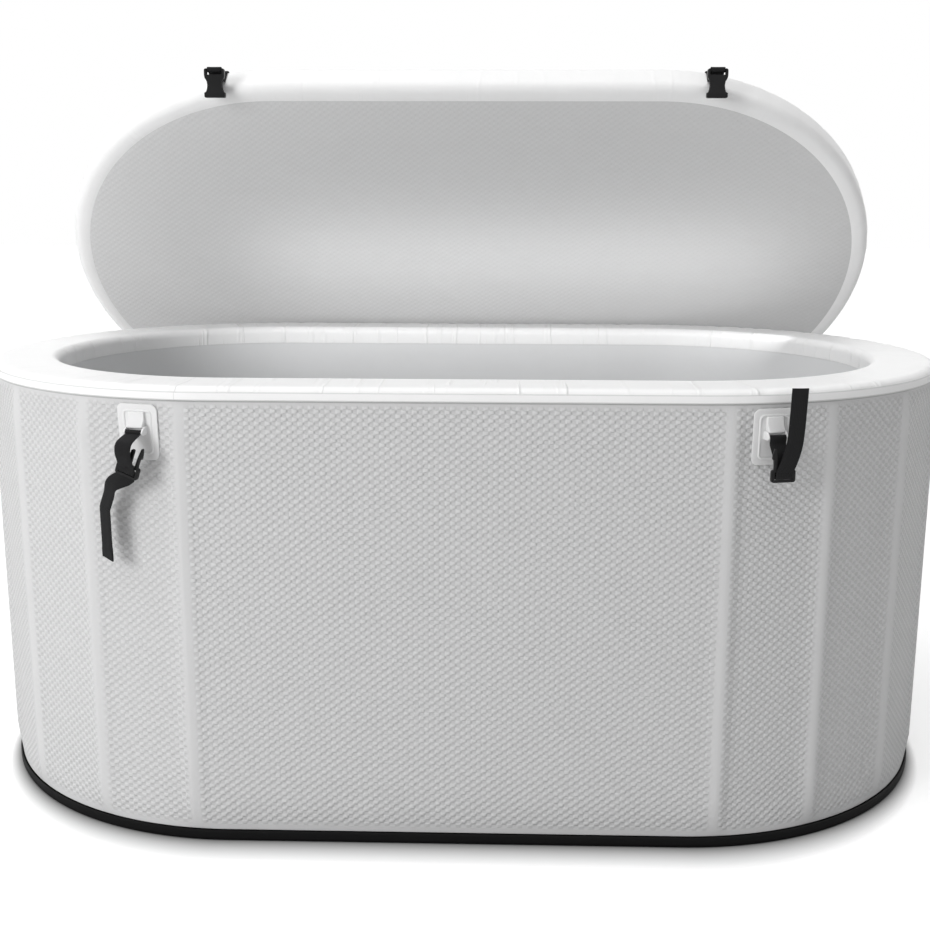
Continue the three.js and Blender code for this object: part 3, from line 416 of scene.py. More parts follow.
def loft(name, rings, closed=False, capped=False, plugged=False):
    """Pulls a ring of points from place to place. Closed joins the last to the first; capped fills both ends,
    plugged the last one."""
    deselect()
    bpy.ops.mesh.primitive_circle_add(vertices=len(rings[0]), radius=1.0)
    piece = renamed(bpy.context.object, name)
    bpy.ops.object.mode_set(mode="EDIT")
    bpy.ops.mesh.select_mode(type="VERT")
    bpy.ops.mesh.select_all(action="SELECT")
    place_selected(piece, rings[0])
    for ring in rings[1:]:
        bpy.ops.mesh.extrude_region_move()
        place_selected(piece, ring)
    if closed or capped:
        bpy.ops.mesh.select_all(action="DESELECT")
        bpy.ops.mesh.select_non_manifold()
    if closed:
        bpy.ops.mesh.bridge_edge_loops()
    elif capped or plugged:
        bpy.ops.mesh.edge_face_add()
    bpy.ops.mesh.select_all(action="SELECT")
    bpy.ops.mesh.normals_make_consistent(inside=False)
    bpy.ops.object.mode_set(mode="OBJECT")
    return piece


def modified(piece, kind, **settings):
    """Adds a modifier with its settings and applies it."""
    only(piece)
    modifier = piece.modifiers.new(kind.title(), kind)
    for key, value in settings.items():
        setattr(modifier, key, value)
    bpy.ops.object.modifier_apply(modifier=modifier.name)


def thicken(piece, thickness, offset=-1.0):
    modified(piece, "SOLIDIFY", thickness=thickness, offset=offset, use_even_offset=True)


def bevelled(piece, width, segments, turn):
    turn = math.radians(turn)
    modified(piece, "BEVEL", width=width, segments=segments, limit_method="ANGLE", angle_limit=turn)


def smooth(piece, turn=40):
    only(piece)
    bpy.ops.object.shade_smooth_by_angle(angle=math.radians(turn))


def moved(piece, matrix):
    """Puts a piece in its place and leaves the place in its mesh."""
    piece.matrix_world = matrix @ piece.matrix_world
    only(piece)
    bpy.ops.object.transform_apply(location=True, rotation=True, scale=True)


def merged(name, pieces):
    deselect()
    for piece in pieces:
        piece.select_set(True)
    bpy.context.view_layer.objects.active = pieces[0]
    bpy.ops.object.join()
    return renamed(bpy.context.object, name)


def repeated(piece, names):
    """Copies of a piece, one for each name, each with a mesh of its own."""
    copies = []
    for name in names:
        copy = piece.copy()
        copy.data = piece.data.copy()
        bpy.context.collection.objects.link(renamed(copy, name))
        copies.append(copy)
    bpy.data.objects.remove(piece, do_unlink=True)
    return copies


def bored(piece, place, radius, axis="Y", depth=0.02):
    """Cuts a round hole along an axis."""
    deselect()
    turn = (math.pi / 2, 0, 0) if axis == "Y" else (0, 0, 0)
    bpy.ops.mesh.primitive_cylinder_add(vertices=48, radius=radius, depth=depth, location=place,
                                        rotation=turn)
    drill = bpy.context.object
    modified(piece, "BOOLEAN", operation="DIFFERENCE", solver="EXACT", object=drill)
    bpy.data.objects.remove(drill, do_unlink=True)


def fit(piece, look, body, slot, *nodes):
    """Gives a finished piece its material and its body, and hides the CAD nodes it stands for. Its slot is
    not used.
    """
    piece.data.materials.clear()
    piece.data.materials.append(look_of(look).material)
    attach(piece, body)
    if nodes:
        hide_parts(*nodes)


def measure(piece, place, full_turn=0.0):
    """Writes the fabric map: place gives metres along and up for a point. Faces over the seam stay whole."""
    layer = piece.data.uv_layers.get("Fabric") or piece.data.uv_layers.new(name="Fabric")
    places = [place(vertex.co) for vertex in piece.data.vertices]
    for face in piece.data.polygons:
        spots = [places[piece.data.loops[i].vertex_index] for i in face.loop_indices]
        highest = max(u for u, _ in spots)
        for i, (u, v) in zip(face.loop_indices, spots):
            if full_turn and highest - u > full_turn / 2:
                u += full_turn
            layer.data[i].uv = (u, v)


def rounding(inset, height, radius, first, last, steps=7):
    """Points on an arc of a profile, as inset and height."""
    turns = [math.radians(first + (last - first) * i / steps) for i in range(steps + 1)]
    return [(inset + radius * math.cos(turn), height + radius * math.sin(turn)) for turn in turns]


# The oval and the wall's surface


def oval():
    """Half the straight length of the tub's oval, and the radius of its ends."""
    tub = sizes("tub")
    return (tub.length - tub.width) / 2, tub.width / 2


def oval_ring(radius, inset, height, around=144, along=56):
    """An oval at an inset from its edge, counterclockwise from the right end's front."""
    half, _ = oval()
    reach = radius - inset
    points = []
    for side, first in ((1, -90), (-1, 90)):
        for i in range(around + 1):
            turn = math.radians(first + 180 * i / around)
            points.append(Vector((side * half + reach * math.cos(turn), reach * math.sin(turn), height)))
        for i in range(1, along):
            points.append(Vector((side * half * (1 - 2 * i / along), side * reach, height)))
    return points


def oval_loft(name, radius, profile, around=144, along=56, **options):
    """A sleeve whose profile is given as inset and height."""
    rings = [oval_ring(radius, inset, height, around, along) for inset, height in profile]
    return loft(name, rings, **options)


def way_round(co):
    """Distance along the oval from its front middle, positive to the right."""
    half, radius = oval()
    side = 1 if co.x >= 0 else -1
    beyond = abs(co.x) - half
    if beyond > 0:
        return side * (half + radius * math.atan2(beyond, -co.y))
    if co.y < 0:
        return co.x
    return side * (2 * half + radius * math.pi - abs(co.x))


def way_and_height(co):
    return way_round(co), co.z


def across_and_back(co):
    return co.x, co.y


def turn_length():
    half, radius = oval()
    return 4 * half + 2 * math.pi * radius


def outward(co):
    """Direction out of the oval at a point, level."""
    half, _ = oval()
    centre = max(-half, min(half, co.x))
    return Vector((co.x - centre, co.y, 0)).normalized()


def inset_of(co, radius):
    """How far a point lies inside an oval."""
    half, _ = oval()
    centre = max(-half, min(half, co.x))
    return radius - math.hypot(co.x - centre, co.y)


def round_share(far):
    """0 along the straight sides, 1 round the ends, where the fabric puckers."""
    half, _ = oval()
    return clamp((abs(far) - half) / 0.1)


def recess(far, height):
    """How far the wall lies inside the oval: nearly flat panels between creases that stand a little proud."""
    tub = sizes("tub")
    half, radius = oval()
    quarter = half + radius * math.pi / 2
    far = min(abs(far), 2 * quarter - abs(far))
    creases = (tub.front_crease, tub.middle_crease, tub.side_crease, tub.end_crease, quarter)
    depth = 0.0
    for first, last in zip(creases, creases[1:]):
        if first < far <= last:
            depth = tub.flatness * (far - first) * (last - far) / (2 * radius)
    for crease in creases[:-1]:
        width = tub.crease_far if far < crease else tub.crease_near
        depth -= tub.crease_proud * math.exp(-((far - crease) / width) ** 2)
    low, high = tub.band, tub.height - tub.cover_drop
    foot_fade, top_fade = 0.05, 0.045
    fade = max(0.0, min((height - low) / foot_fade, (high - height) / top_fade, 1.0))
    return depth * fade * fade * (3 - 2 * fade)


def on_wall(far, height, out):
    """A point that stands off the dressed wall."""
    half, radius = oval()
    side = math.copysign(1, far)
    far = abs(far)
    turn = min(max(far - half, 0) / radius, math.pi)
    straight = min(far, half) if turn < math.pi else 2 * half + radius * math.pi - far
    direction = Vector((side * math.sin(turn), -math.cos(turn), 0))
    return Vector((side * straight, 0, height)) + direction * (radius + out - recess(far, height))


# Materials


def embossed(look, depth, mask=None):
    """Staggered dimples of the outer fabric, with slight unevenness."""
    tub = sizes("tub")
    along, up = look.fabric()
    dimple = (along * (2 * math.pi / tub.emboss_pitch)).cos() * (up * (math.pi / tub.emboss_row)).cos()
    uneven = look.noise(look.place(), 90.0)
    large = look.noise(look.place(), 5.0)
    height = dimple.above(-0.55, 0.75) * (0.75 + uneven * 0.5)
    if mask is not None:
        height = height * mask
    look.relief(height + large * 2.2, depth)
    return height, large


def wall_fabric():
    """Embossed fabric, smooth on the welded bands along the creases, at its ends, top and foot; its colour
    holds painted shade in the dimples, low down towards the floor and in a line under the welt.
    """
    tub = sizes("tub")
    look = Look("Embossed wall fabric", sizes("finish").wall, 0.5, Specular_IOR_Level=0.35)
    along, up = look.fabric()
    half, radius = oval()
    quarter = half + radius * math.pi / 2
    far = quarter - (along.size() - quarter).size()
    smoothed = far.above(tub.end_crease - tub.weld / 2, tub.end_crease)
    for crease in (tub.front_crease, tub.middle_crease, tub.side_crease):
        smoothed = far.near(crease - tub.weld / 4, tub.weld / 6, tub.weld * 0.6).most(smoothed)
    foot_edge, top_edge = (0.022, 0.036), (0.668, 0.678)
    mask = (1 - smoothed * 0.94) * up.above(*foot_edge) * (1 - up.above(*top_edge))
    height, large = embossed(look, 0.0015, mask)
    # Painted shade in the hollows: the valleys of the emboss are darkened.
    valley = (1 - height.above(0.0, 0.45)) * mask
    grime = look.noise(look.place(), 9.0, 4.0, 0.6).above(0.5, 0.8)
    # Painted shade low on the wall, growing darker towards the floor.
    foot = 1 - up.above(0.0, 0.05)
    # Painted shade: a dark line along the top of the wall, under the welt's overhang.
    painted_welt_shade = up.above(0.6772, 0.6792)
    look.darken(valley * 0.26 + grime * 0.05 + foot * 0.1 + painted_welt_shade * 0.8, 0.55)
    look.feed("Roughness", 0.42 + valley * 0.16 + large * 0.08)
    return look


def smooth_fabric(name, colour, roughness, depth, creases=0.0, scale=14.0, edges=(), seam=None, shine=0.4):
    """Coated fabric with a fine grain, soft waves with painted shade in their hollows and, on request,
    puckers, edge lines and one overlap.
    """
    look = Look(name, colour, roughness, Specular_IOR_Level=shine)
    grain = look.noise(look.place(), 900.0, 1.0)
    waves = look.noise(look.place(), scale, 3.0, 0.55, 0.4)
    height = waves * 1.4 + grain * 0.05
    # Painted shade in the hollows of the soft waves, over a grain at random.
    shade = grain * 0.05 + (1 - waves.above(0.3, 0.7)) * 0.04
    along, up = look.fabric()
    if creases:
        run = look.node("ShaderNodeCombineXYZ", {}, [along * 60.0, up * 9.0, 0.0])
        height = height + look.noise(run, 1.0, 2.0, 0.5, 0.6).above(0.52, 0.78) * creases
    for edge in edges:
        shade = shade + up.near(edge, 0.0005, 0.0012) * 0.9
    if seam:
        height = height + along.above(seam - 0.0008, seam + 0.0008) * 2.0
        shade = shade + along.near(seam, 0.0003, 0.0009) * 0.7
    look.relief(height, depth)
    look.darken(shade, 0.72)
    look.feed("Roughness", roughness - 0.06 + waves * 0.12)
    return look


def welt_fabric():
    """The welt's fabric, with thin dark lines along its two edges."""
    tub = sizes("tub")
    white, low = sizes("finish").rim, tub.height - tub.cover_drop
    edges = (low + 0.0012, low + tub.welt - 0.0008)
    return smooth_fabric("White welt fabric", white, 0.4, 0.0003, 0.5, edges=edges, seam=tub.overlap)


def underside_fabric():
    look = Look("Lid underside fabric", sizes("finish").underside, 0.55, Specular_IOR_Level=0.3)
    height, large = embossed(look, 0.0003)
    # Painted shade in the dimples' hollows, and a darker tone at random.
    look.darken((1 - height.above(0.0, 0.5)) * 0.07 + large * 0.05, 0.75)
    return look


def webbing_weave():
    """Ribbed black webbing with a denser edge."""
    width = sizes("strap").width
    rib_pitch, cord_pitch = 0.0018, 0.0025
    look = Look("Black webbing", sizes("finish").webbing, 0.75, Specular_IOR_Level=0.15)
    across, along = look.fabric()
    rib = (along * (2 * math.pi / rib_pitch)).cos()
    cord = (across * (2 * math.pi / cord_pitch)).cos()
    weave = rib * 0.5 + cord * 0.35 + rib * cord * 0.3
    edge = across.size().above(width * 0.40, width * 0.46)
    fuzz = look.noise(look.place(), 1500.0)
    look.relief(weave * 0.5 + fuzz * 0.4 - edge * 0.5, 0.00025)
    # Painted sheen: the raised ribs of the weave are made paler; the fuzz is paler at random.
    look.darken(weave.above(0.2, 1.0) * 0.35 + fuzz * 0.25, 2.2)
    look.feed("Roughness", 0.62 + fuzz * 0.2)
    return look


def moulded(name, colour, roughness, light=1.5):
    """Moulded plastic with a fine spark-eroded grain and paler spots at random."""
    look = Look(name, colour, roughness, Specular_IOR_Level=0.22)
    grain = look.noise(look.place(), 2600.0)
    flow = look.noise(look.place(), 45.0, 3.0)
    look.relief(grain * 0.6 + flow * 0.4, 0.00006)
    look.darken(flow.above(0.52, 0.8) * 0.3 + grain * 0.12, light)
    look.feed("Roughness", roughness + grain * 0.14 - 0.05)
    return look


LOOKS = {}


def look_of(key):
    """Each finish is made once."""
    finish, overlap = sizes("finish"), sizes("tub").overlap
    makers = {
        "wall": wall_fabric,
        "rim": lambda: smooth_fabric("White rim fabric", finish.rim, 0.36, 0.0006, 2.6, seam=overlap),
        "welt": welt_fabric,
        # Painted light: the rim's white fabric, made lighter on the lid's border.
        "lid_edge": lambda: smooth_fabric("Lid edge fabric", finish.lid_edge, 0.36, 0.0005, 0.8),
        "liner": lambda: smooth_fabric("Liner fabric", finish.liner, 0.34, 0.0012),
        "patch": lambda: smooth_fabric("Patch moulding", finish.patch, 0.3, 0.0002, scale=60.0),
        "lid": lambda: smooth_fabric("Lid top fabric", finish.liner, 0.45, 0.0008),
        "base": lambda: smooth_fabric("Black base fabric", finish.base, 0.6, 0.0004, scale=30.0, shine=0.15),
        "underside": underside_fabric,
        "webbing": webbing_weave,
        "buckle": lambda: moulded("Black buckle moulding", finish.buckle, 0.34),
        "valve": lambda: moulded("Grey valve moulding", finish.valve, 0.4, 1.4),
        "seal": lambda: moulded("Black seal", finish.base, 0.7),
    }
    if key not in LOOKS:
        LOOKS[key] = makers[key]()
    return LOOKS[key]


# Frames of the lid and the straps


def lid_place():
    """From the closed lid's own frame, its middle at the origin, to the open lid."""
    tub, lid = sizes("tub", "lid")
    hinge = Matrix.Translation((0, lid.edge_back, lid.edge_height)) @ Matrix.Rotation(-lid.opening, 4, "X")
    return hinge @ Matrix.Translation((0, -(tub.width / 2 - lid.inset), 0))


def station(radius, x, height=0.0, back=False):
    """A place on an oval's edge: local -Y points out."""
    half, _ = oval()
    beyond = max(abs(x) - half, 0)
    turn = math.copysign(math.asin(beyond / radius), x)
    depth = radius * math.cos(turn)
    spin = math.pi - turn if back else turn
    return Matrix.Translation((x, depth if back else -depth, height)) @ Matrix.Rotation(spin, 4, "Z")


def lid_station(x, back):
    """A place on the lid's edge; the front ones run straight, so they clear the curve at their outer edge."""
    tub, lid, strap = sizes("tub", "lid", "strap")
    radius = tub.width / 2 - lid.inset
    if back:
        return station(radius, x, back=True)
    edge = station(radius, x - math.copysign(strap.width / 2, x))
    return Matrix.Translation((x, edge.translation.y, 0))


class BATH_OT_wall(bpy.types.Operator):
    """Models the embossed outer wall with its creases"""

    bl_idname = "bath.wall"
    bl_label = "Outer wall"

    def execute(self, context):
        tub, fitting = sizes("tub", "fitting")
        _, radius = oval()
        low, high = tub.band + tub.seam, tub.height - tub.cover_drop - tub.seam
        rows, foot_tuck, top_tuck = 30, 0.0022, 0.001
        profile = []
        for i in range(rows + 1):
            share = i / rows
            tuck = foot_tuck * (1 - min(share * 14, 1)) ** 2 + top_tuck * max(share * 20 - 19, 0) ** 2
            profile.append((tuck, low + (high - low) * share))
        piece = oval_loft("outer_wall", radius, profile, around=180)
        for vertex in piece.data.vertices:
            vertex.co -= outward(vertex.co) * recess(way_round(vertex.co), vertex.co.z)
        measure(piece, way_and_height, turn_length())
        thicken(piece, tub.fabric)
        bored(piece, (fitting.valve_x, radius, fitting.valve_height), fitting.valve_bore)
        bored(piece, (fitting.drain_x, radius, fitting.drain_height), fitting.drain_bore)
        smooth(piece, 50)
        fit(piece, "wall", "tub", "wall_fabric", "outer_wall_skin", "wall_core")
        return {"FINISHED"}


class BATH_OT_inside(bpy.types.Operator):
    """Models the smooth liner and the inflated floor"""

    bl_idname = "bath.inside"
    bl_label = "Liner and floor"

    def execute(self, context):
        tub, fitting = sizes("tub", "fitting")
        _, radius = oval()
        inner = radius - tub.wall
        foot, top = tub.liner_foot, tub.height - tub.cover_inside - tub.seam
        rows = 16
        profile = [(0.0, foot + (top - foot) * i / rows) for i in range(rows + 1)]
        liner = oval_loft("inner_wall", inner + tub.fabric, profile, around=96, along=40)
        thicken(liner, tub.fabric)
        measure(liner, way_and_height)
        bored(liner, (fitting.drain_x, inner, fitting.drain_height), fitting.drain_bore)
        smooth(liner, 50)
        fit(liner, "liner", "tub", "liner_fabric", "inner_liner")

        edge = tub.wall + tub.seam
        foot, top, bulge = 0.0026, tub.floor_top, 0.014
        profile = [(edge + 0.2, foot), (edge + 0.008, foot), (edge, 0.008), (edge, top - bulge - 0.002)]
        profile += rounding(edge + bulge, top - bulge - 0.002, bulge, 180, 90)[1:]
        profile += [(edge + 0.05, top - 0.0004), (edge + 0.13, top), (radius - 0.002, top)]
        floor = oval_loft("inflated_floor", radius, profile, around=72, along=24, capped=True)
        measure(floor, across_and_back)
        smooth(floor)
        fit(floor, "liner", "tub", "liner_fabric", "floor_panel")
        return {"FINISHED"}


class BATH_OT_rim(bpy.types.Operator):
    """Models the white rim cover with its puckered edge, and the welt under it with its overlap"""

    bl_idname = "bath.rim"
    bl_label = "Rim"

    def pucker(self, rim):
        tub = sizes("tub")
        _, radius = oval()
        low, r = tub.height - tub.cover_drop, tub.rim_radius
        deepest, sag = 0.0022, 0.00045
        for vertex in rim.data.vertices:
            out = outward(vertex.co)
            far, inset = way_round(vertex.co), inset_of(vertex.co, radius)
            edge = max(0.0, 1 - abs(inset - 0.006) / 0.03) * clamp((vertex.co.z - low) / 0.006)
            wave = math.sin(far * 205 + 2.2 * math.sin(far * 37)) * math.sin(far * 71 + 1.3)
            depth = max(0.0, wave) * deepest * edge * round_share(far)
            across = clamp((inset - r) / (tub.wall - 2 * r))
            vertex.co -= out * depth
            vertex.co.z -= depth * 0.7 + sag * (1 - math.cos(2 * math.pi * across))

    def execute(self, context):
        tub = sizes("tub")
        _, radius = oval()
        low, inside = tub.height - tub.cover_drop, tub.height - tub.cover_inside
        r, top = tub.rim_radius, tub.height
        profile = [(0.0, low), (0.0, (low + top - r) / 2)]
        profile += rounding(r, top - r, r, 180, 90, 10)
        profile += [(r + (tub.wall - 2 * r) * share, top) for share in (0.25, 0.5, 0.75)]
        profile += rounding(tub.wall - r, top - r, r, 90, 0, 10)
        profile += [(tub.wall, inside)]
        rim = oval_loft("rim_wrap", radius, profile)
        self.pucker(rim)
        measure(rim, lambda co: (way_round(co), co.z + (co - outward(co) * radius).xy.length), turn_length())
        thicken(rim, tub.fabric)
        smooth(rim, 60)
        fit(rim, "rim", "tub", "rim_fabric", "rim_cover")

        high = low + tub.welt
        section = [(-0.0003, low + 0.0004), (-0.0014, low + 0.0004), (-0.0019, low + 0.0012),
                   (-0.0016, low + 0.003), (-0.0013, high - 0.002), (-0.0009, high - 0.0005), (-0.0003, high)]
        welt = oval_loft("rim_welt_strip", radius, section, closed=True)
        for vertex in welt.data.vertices:
            lap = 1 - max(0.0, abs(way_round(vertex.co) - tub.overlap - 0.012) - 0.01) / 0.004
            vertex.co += outward(vertex.co) * (0.0008 * max(0.0, lap))
        measure(welt, way_and_height, turn_length())
        smooth(welt, 45)
        fit(welt, "welt", "tub", "rim_fabric", "rim_welt")
        return {"FINISHED"}


class BATH_OT_base(bpy.types.Operator):
    """Models the black band and the sheet under the tub"""

    bl_idname = "bath.base"
    bl_label = "Base"

    def execute(self, context):
        _, radius = oval()
        high = sizes("tub").band
        section = [(-0.0002, 0.0025), (-0.0012, 0.0025), (-0.0017, 0.0034), (-0.0019, 0.0058),
                   (-0.0015, high * 0.62), (-0.0018, high - 0.0022), (-0.0012, high - 0.0006),
                   (-0.0002, high - 0.0002)]
        band = oval_loft("foot_band", radius, section, closed=True)
        measure(band, way_and_height, turn_length())
        smooth(band, 45)
        fit(band, "base", "tub", "base_fabric", "base_band")

        profile = [(0.05, 0.0), (0.0015, 0.0), (-0.0003, 0.0006), (-0.0003, 0.0015), (0.0003, 0.002),
                   (0.05, 0.002)]
        sheet = oval_loft("ground_sheet", radius, profile, around=96, along=30, capped=True)
        measure(sheet, across_and_back)
        smooth(sheet)
        fit(sheet, "base", "tub", "base_fabric", "base_sheet")
        return {"FINISHED"}


class BATH_OT_lid(bpy.types.Operator):
    """Models the lid: its white edge, grey underside and top"""

    bl_idname = "bath.lid"
    bl_label = "Lid"

    def edge(self, radius):
        tub, lid = sizes("tub", "lid")
        mid, r, border = lid.thickness / 2, lid.edge_radius, lid.border
        profile = [(border + 0.004, -mid + 0.0016), (border, -mid + 0.0008), (border - 0.004, -mid + 0.0001)]
        profile += rounding(r, -mid + r, r, 270, 180, 9)
        profile += rounding(r, mid - r, r, 180, 90, 9)
        profile += [(border - 0.004, mid), (border + 0.004, mid - 0.001)]
        edge = oval_loft("lid_edge_wrap", radius, profile)
        deepest = 0.0007
        for vertex in edge.data.vertices:
            far = way_round(vertex.co)
            wave = math.sin(far * 118 + 1.7 * math.sin(far * 29)) * math.sin(far * 47)
            near_edge = clamp((0.02 - inset_of(vertex.co, radius)) / 0.02)
            vertex.co -= outward(vertex.co) * (deepest * max(0, wave) * round_share(far) * near_edge)
        measure(edge, way_and_height, turn_length())
        thicken(edge, tub.fabric)
        smooth(edge, 50)
        return edge

    def panel(self, name, radius, side):
        """One flat side, from its seam to the middle, softly tucked in at the seam."""
        tub, lid, fitting = sizes("tub", "lid", "fitting")
        steps = (0.0, 0.01, 0.03, 0.07, 0.13, 0.2, 0.28, 0.36, 0.41)
        mid, tuck, reach = lid.thickness / 2, 0.0014, 0.02
        profile = [(lid.border + 0.001 + step, side * (mid - 0.0004 - tuck * math.exp(-step / reach)))
                   for step in steps]
        panel = oval_loft(name, radius, profile, around=96, along=40, plugged=True)
        facing = panel.data.polygons[0].normal.z * side
        thicken(panel, tub.fabric, -1.0 if facing > 0 else 1.0)
        measure(panel, across_and_back)
        if side > 0:
            place = (fitting.lid_valve_x, radius - fitting.lid_valve_inset, mid)
            bored(panel, place, fitting.valve_bore, "Z")
        smooth(panel)
        return panel

    def execute(self, context):
        tub, lid = sizes("tub", "lid")
        radius = tub.width / 2 - lid.inset
        edge = self.edge(radius)
        under, top = self.panel("lid_under_panel", radius, -1), self.panel("lid_top_panel", radius, 1)
        for piece, look, slot, nodes in (
                (edge, "lid_edge", "rim_fabric", ("lid_edge_band", "lid_core")),
                (under, "underside", "lid_under_fabric", ("lid_underside",)),
                (top, "lid", "lid_fabric", ("lid_top_skin",))):
            moved(piece, lid_place())
            fit(piece, look, "lid", slot, *nodes)
        return {"FINISHED"}


# Straps and patches


def webbing(name, route, acrosses=None, hemmed=False, slant=0.0):
    """A strap pulled along a route. acrosses say where its width points; a hem doubles its end."""
    strap = sizes("strap")
    w, t = strap.width / 2, strap.thickness / 2
    soft = strap.width * 0.03
    face = [(-w + soft, -t), (-w / 3, -t * 0.86), (w / 3, -t * 0.86), (w - soft, -t)]
    section = [(-w, -t * 0.4), *face, (w, -t * 0.4), (w, t * 0.4)]
    section += [(a, -b) for a, b in reversed(face)] + [(-w, t * 0.4)]
    lengths = [0.0]
    for before, after in zip(route, route[1:]):
        lengths.append(lengths[-1] + (after - before).length)
    rings = []
    for i, point in enumerate(route):
        run = (route[min(i + 1, len(route) - 1)] - route[max(i - 1, 0)]).normalized()
        across = acrosses[i] if acrosses else Vector((1, 0, 0))
        across = (across - run * across.dot(run)).normalized()
        out = run.cross(across)
        hem = 1.9 if hemmed and lengths[-1] - lengths[i] < strap.width * 0.6 else 1.0
        cut = slant / w if point is route[-1] else 0.0
        rings.append([point + across * a + out * b * hem + run * (a * cut) for a, b in section])
    piece = loft(name, rings, capped=True)
    layer = piece.data.uv_layers.new(name="Fabric")
    for loop in piece.data.loops:
        ring, spot = divmod(loop.vertex_index, len(section))
        layer.data[loop.index].uv = (section[spot][0], lengths[ring])
    smooth(piece, 50)
    return piece


def eased(points, steps):
    """A smooth line through the given points."""
    points = [Vector(point) for point in points]
    line = [points[0]]
    for i in range(len(points) - 1):
        first, last = points[i], points[i + 1]
        before, after = points[max(i - 1, 0)], points[min(i + 2, len(points) - 1)]
        handles = first + (last - before) / 6, last - (after - first) / 6
        line += interpolate_bezier(first, *handles, last, steps + 1)[1:]
    return line


def bend(y, z, radius, first, last, steps=6, x=0.0):
    """Points on an arc in the strap's side view, angles from +Y towards +Z, in degrees."""
    turns = [math.radians(first + (last - first) * i / steps) for i in range(steps + 1)]
    return [Vector((x, y + radius * math.cos(turn), z + radius * math.sin(turn))) for turn in turns]


def at_buckle():
    """Where the webbing runs at a front buckle: its sides towards the wall and away from it, and its slot."""
    strap = sizes("strap")
    return -strap.male_out + strap.ply, -strap.male_out - strap.ply, -strap.male_drop - strap.slot_drop


def climbing_strap(side):
    """The right strap: down to its buckle, round the bar, and its tail up over the rim."""
    strap = sizes("strap")
    wall_side, out_side, slot = at_buckle()
    t, drift = strap.thickness, side * strap.male_drift
    leaving = -strap.pin_out - strap.eye
    route = bend(-strap.pin_out, 0, strap.eye, -40, 180, 12)
    route += eased([(0, leaving, -0.004), (0, leaving, -0.01), (drift * 0.6, wall_side + t * 0.6, slot * 0.5),
                    (drift, wall_side, slot + 2 * strap.slot)], 5)
    route += bend(wall_side - t, slot + t, t, 0, -90, 4, drift)
    route += bend(out_side + t, slot + t, t, -90, -180, 4, drift)
    rise = side * strap.climb_drift - drift
    route += eased([(drift, out_side, slot + 2 * strap.slot), (drift + rise * 0.56, out_side - t, slot * 0.4),
                    (drift + rise * 0.88, out_side - t, strap.climb * 0.08),
                    (drift + rise, out_side - 2 * t, strap.climb)], 8)
    return route, None, 0.0


def hanging_strap(side):
    """The left strap: a wide slack loop to its leaning buckle, and its folded tail hanging behind it."""
    strap = sizes("strap")
    wall_side, out_side, slot = at_buckle()
    t, drift, sway = strap.thickness, side * strap.male_drift, side * strap.loop_drift
    leaving, slack = -strap.pin_out - strap.eye, -strap.male_out - strap.slack
    bar = Vector((drift, 0, -strap.male_drop))
    lean = Matrix.Rotation(-side * strap.male_lean, 3, "Y")

    def leaning(points):
        return [bar + lean @ (Vector(point) - bar) for point in points]

    eye = bend(-strap.pin_out, 0, strap.eye, -40, 180, 12)
    last = leaning([(drift, out_side, slot + 2 * strap.slot)])
    loop = eased([(0, leaving, -0.002), (sway * 0.6, slack + 2 * t, slot * 0.2), (sway, slack, slot * 0.45),
                  (sway, slack + 3 * t, slot * 0.7), *last], 7)
    through = leaning(bend(out_side + t, slot + t, t, -180, -90, 4, drift)
                      + bend(wall_side - t, slot - t, t, 90, 0, 4, drift))
    start = leaning([(drift, wall_side, slot - 2 * strap.slot)])[0]
    fold = Vector((side * strap.fold_drift, wall_side + 3 * t, -strap.fold_drop))
    end = Vector((fold.x * 0.95, wall_side + t, -strap.fall_drop))
    x, z = fold.x - start.x, fold.z - start.z
    fall = eased([start, (start.x + x * 0.62, wall_side + t, start.z + z * 0.24),
                  (start.x + x * 0.8, wall_side + 2 * t, start.z + z * 0.6), fold], 7)
    tail = eased([fold, fold.lerp(end, 0.5), end], 7)[1:]
    level, leaned = Vector((1, 0, 0)), lean @ Vector((1, 0, 0))
    turned = Vector((math.cos(strap.fall_turn), side * math.sin(strap.fall_turn), 0))
    acrosses = [level] * len(eye) + [level.lerp(leaned, i / (len(loop) - 1)) for i in range(len(loop))]
    acrosses += [leaned] * len(through)
    acrosses += [leaned.lerp(turned, min(2 * i / len(fall), 1.0)) for i in range(len(fall))]
    return eye + loop + through + fall + tail, acrosses + [turned] * len(tail), 2 * t


def back_strap():
    """A back strap in its own frame: up from the pin to the male half, its tail folded back."""
    strap = sizes("strap")
    length = strap.link - strap.mated
    slot, ply, t = length - strap.slot_drop, strap.ply, strap.thickness
    base = length - strap.clip - ply
    route = bend(0, 0, strap.eye, -130, -360, 12)
    route += eased([(0, strap.eye, 0.002), (0, strap.eye, 0.006), (0, -ply, base)], 8)
    route += bend(-ply + t, slot - t, t, 180, 90, 4)
    route += bend(ply - t, slot - t, t, 90, 0, 4)
    route += eased([(0, ply, base), (0, ply + strap.tail_gap, slot - strap.tail)], 8)
    return route


def lid_tab(reach, drop):
    """A tab over the lid's edge: from its pocket, down the edge face and round the buckle's bar."""
    lid, strap = sizes("lid", "strap")
    t, eye, start = strap.thickness, lid.tab_eye, lid.tab_inner
    raised, over = 0.0018, 0.016
    top = lid.thickness / 2 + raised + t / 2
    turn = over + lid.tab_off
    route = [Vector((0, start, top)), Vector((0, start - 0.008, top)), Vector((0, 0.018, top))]
    route += bend(over, top - turn, turn, 90, 180, 10)
    route += eased([(0, -lid.tab_off, top - turn - 0.002), (0, -lid.tab_off, -drop + 2 * eye + 2 * t),
                    (0, -reach / 2 - t, -drop + eye + t / 2)], 5)
    route += bend(-reach, -drop, eye, 90, 370, 12)
    return route


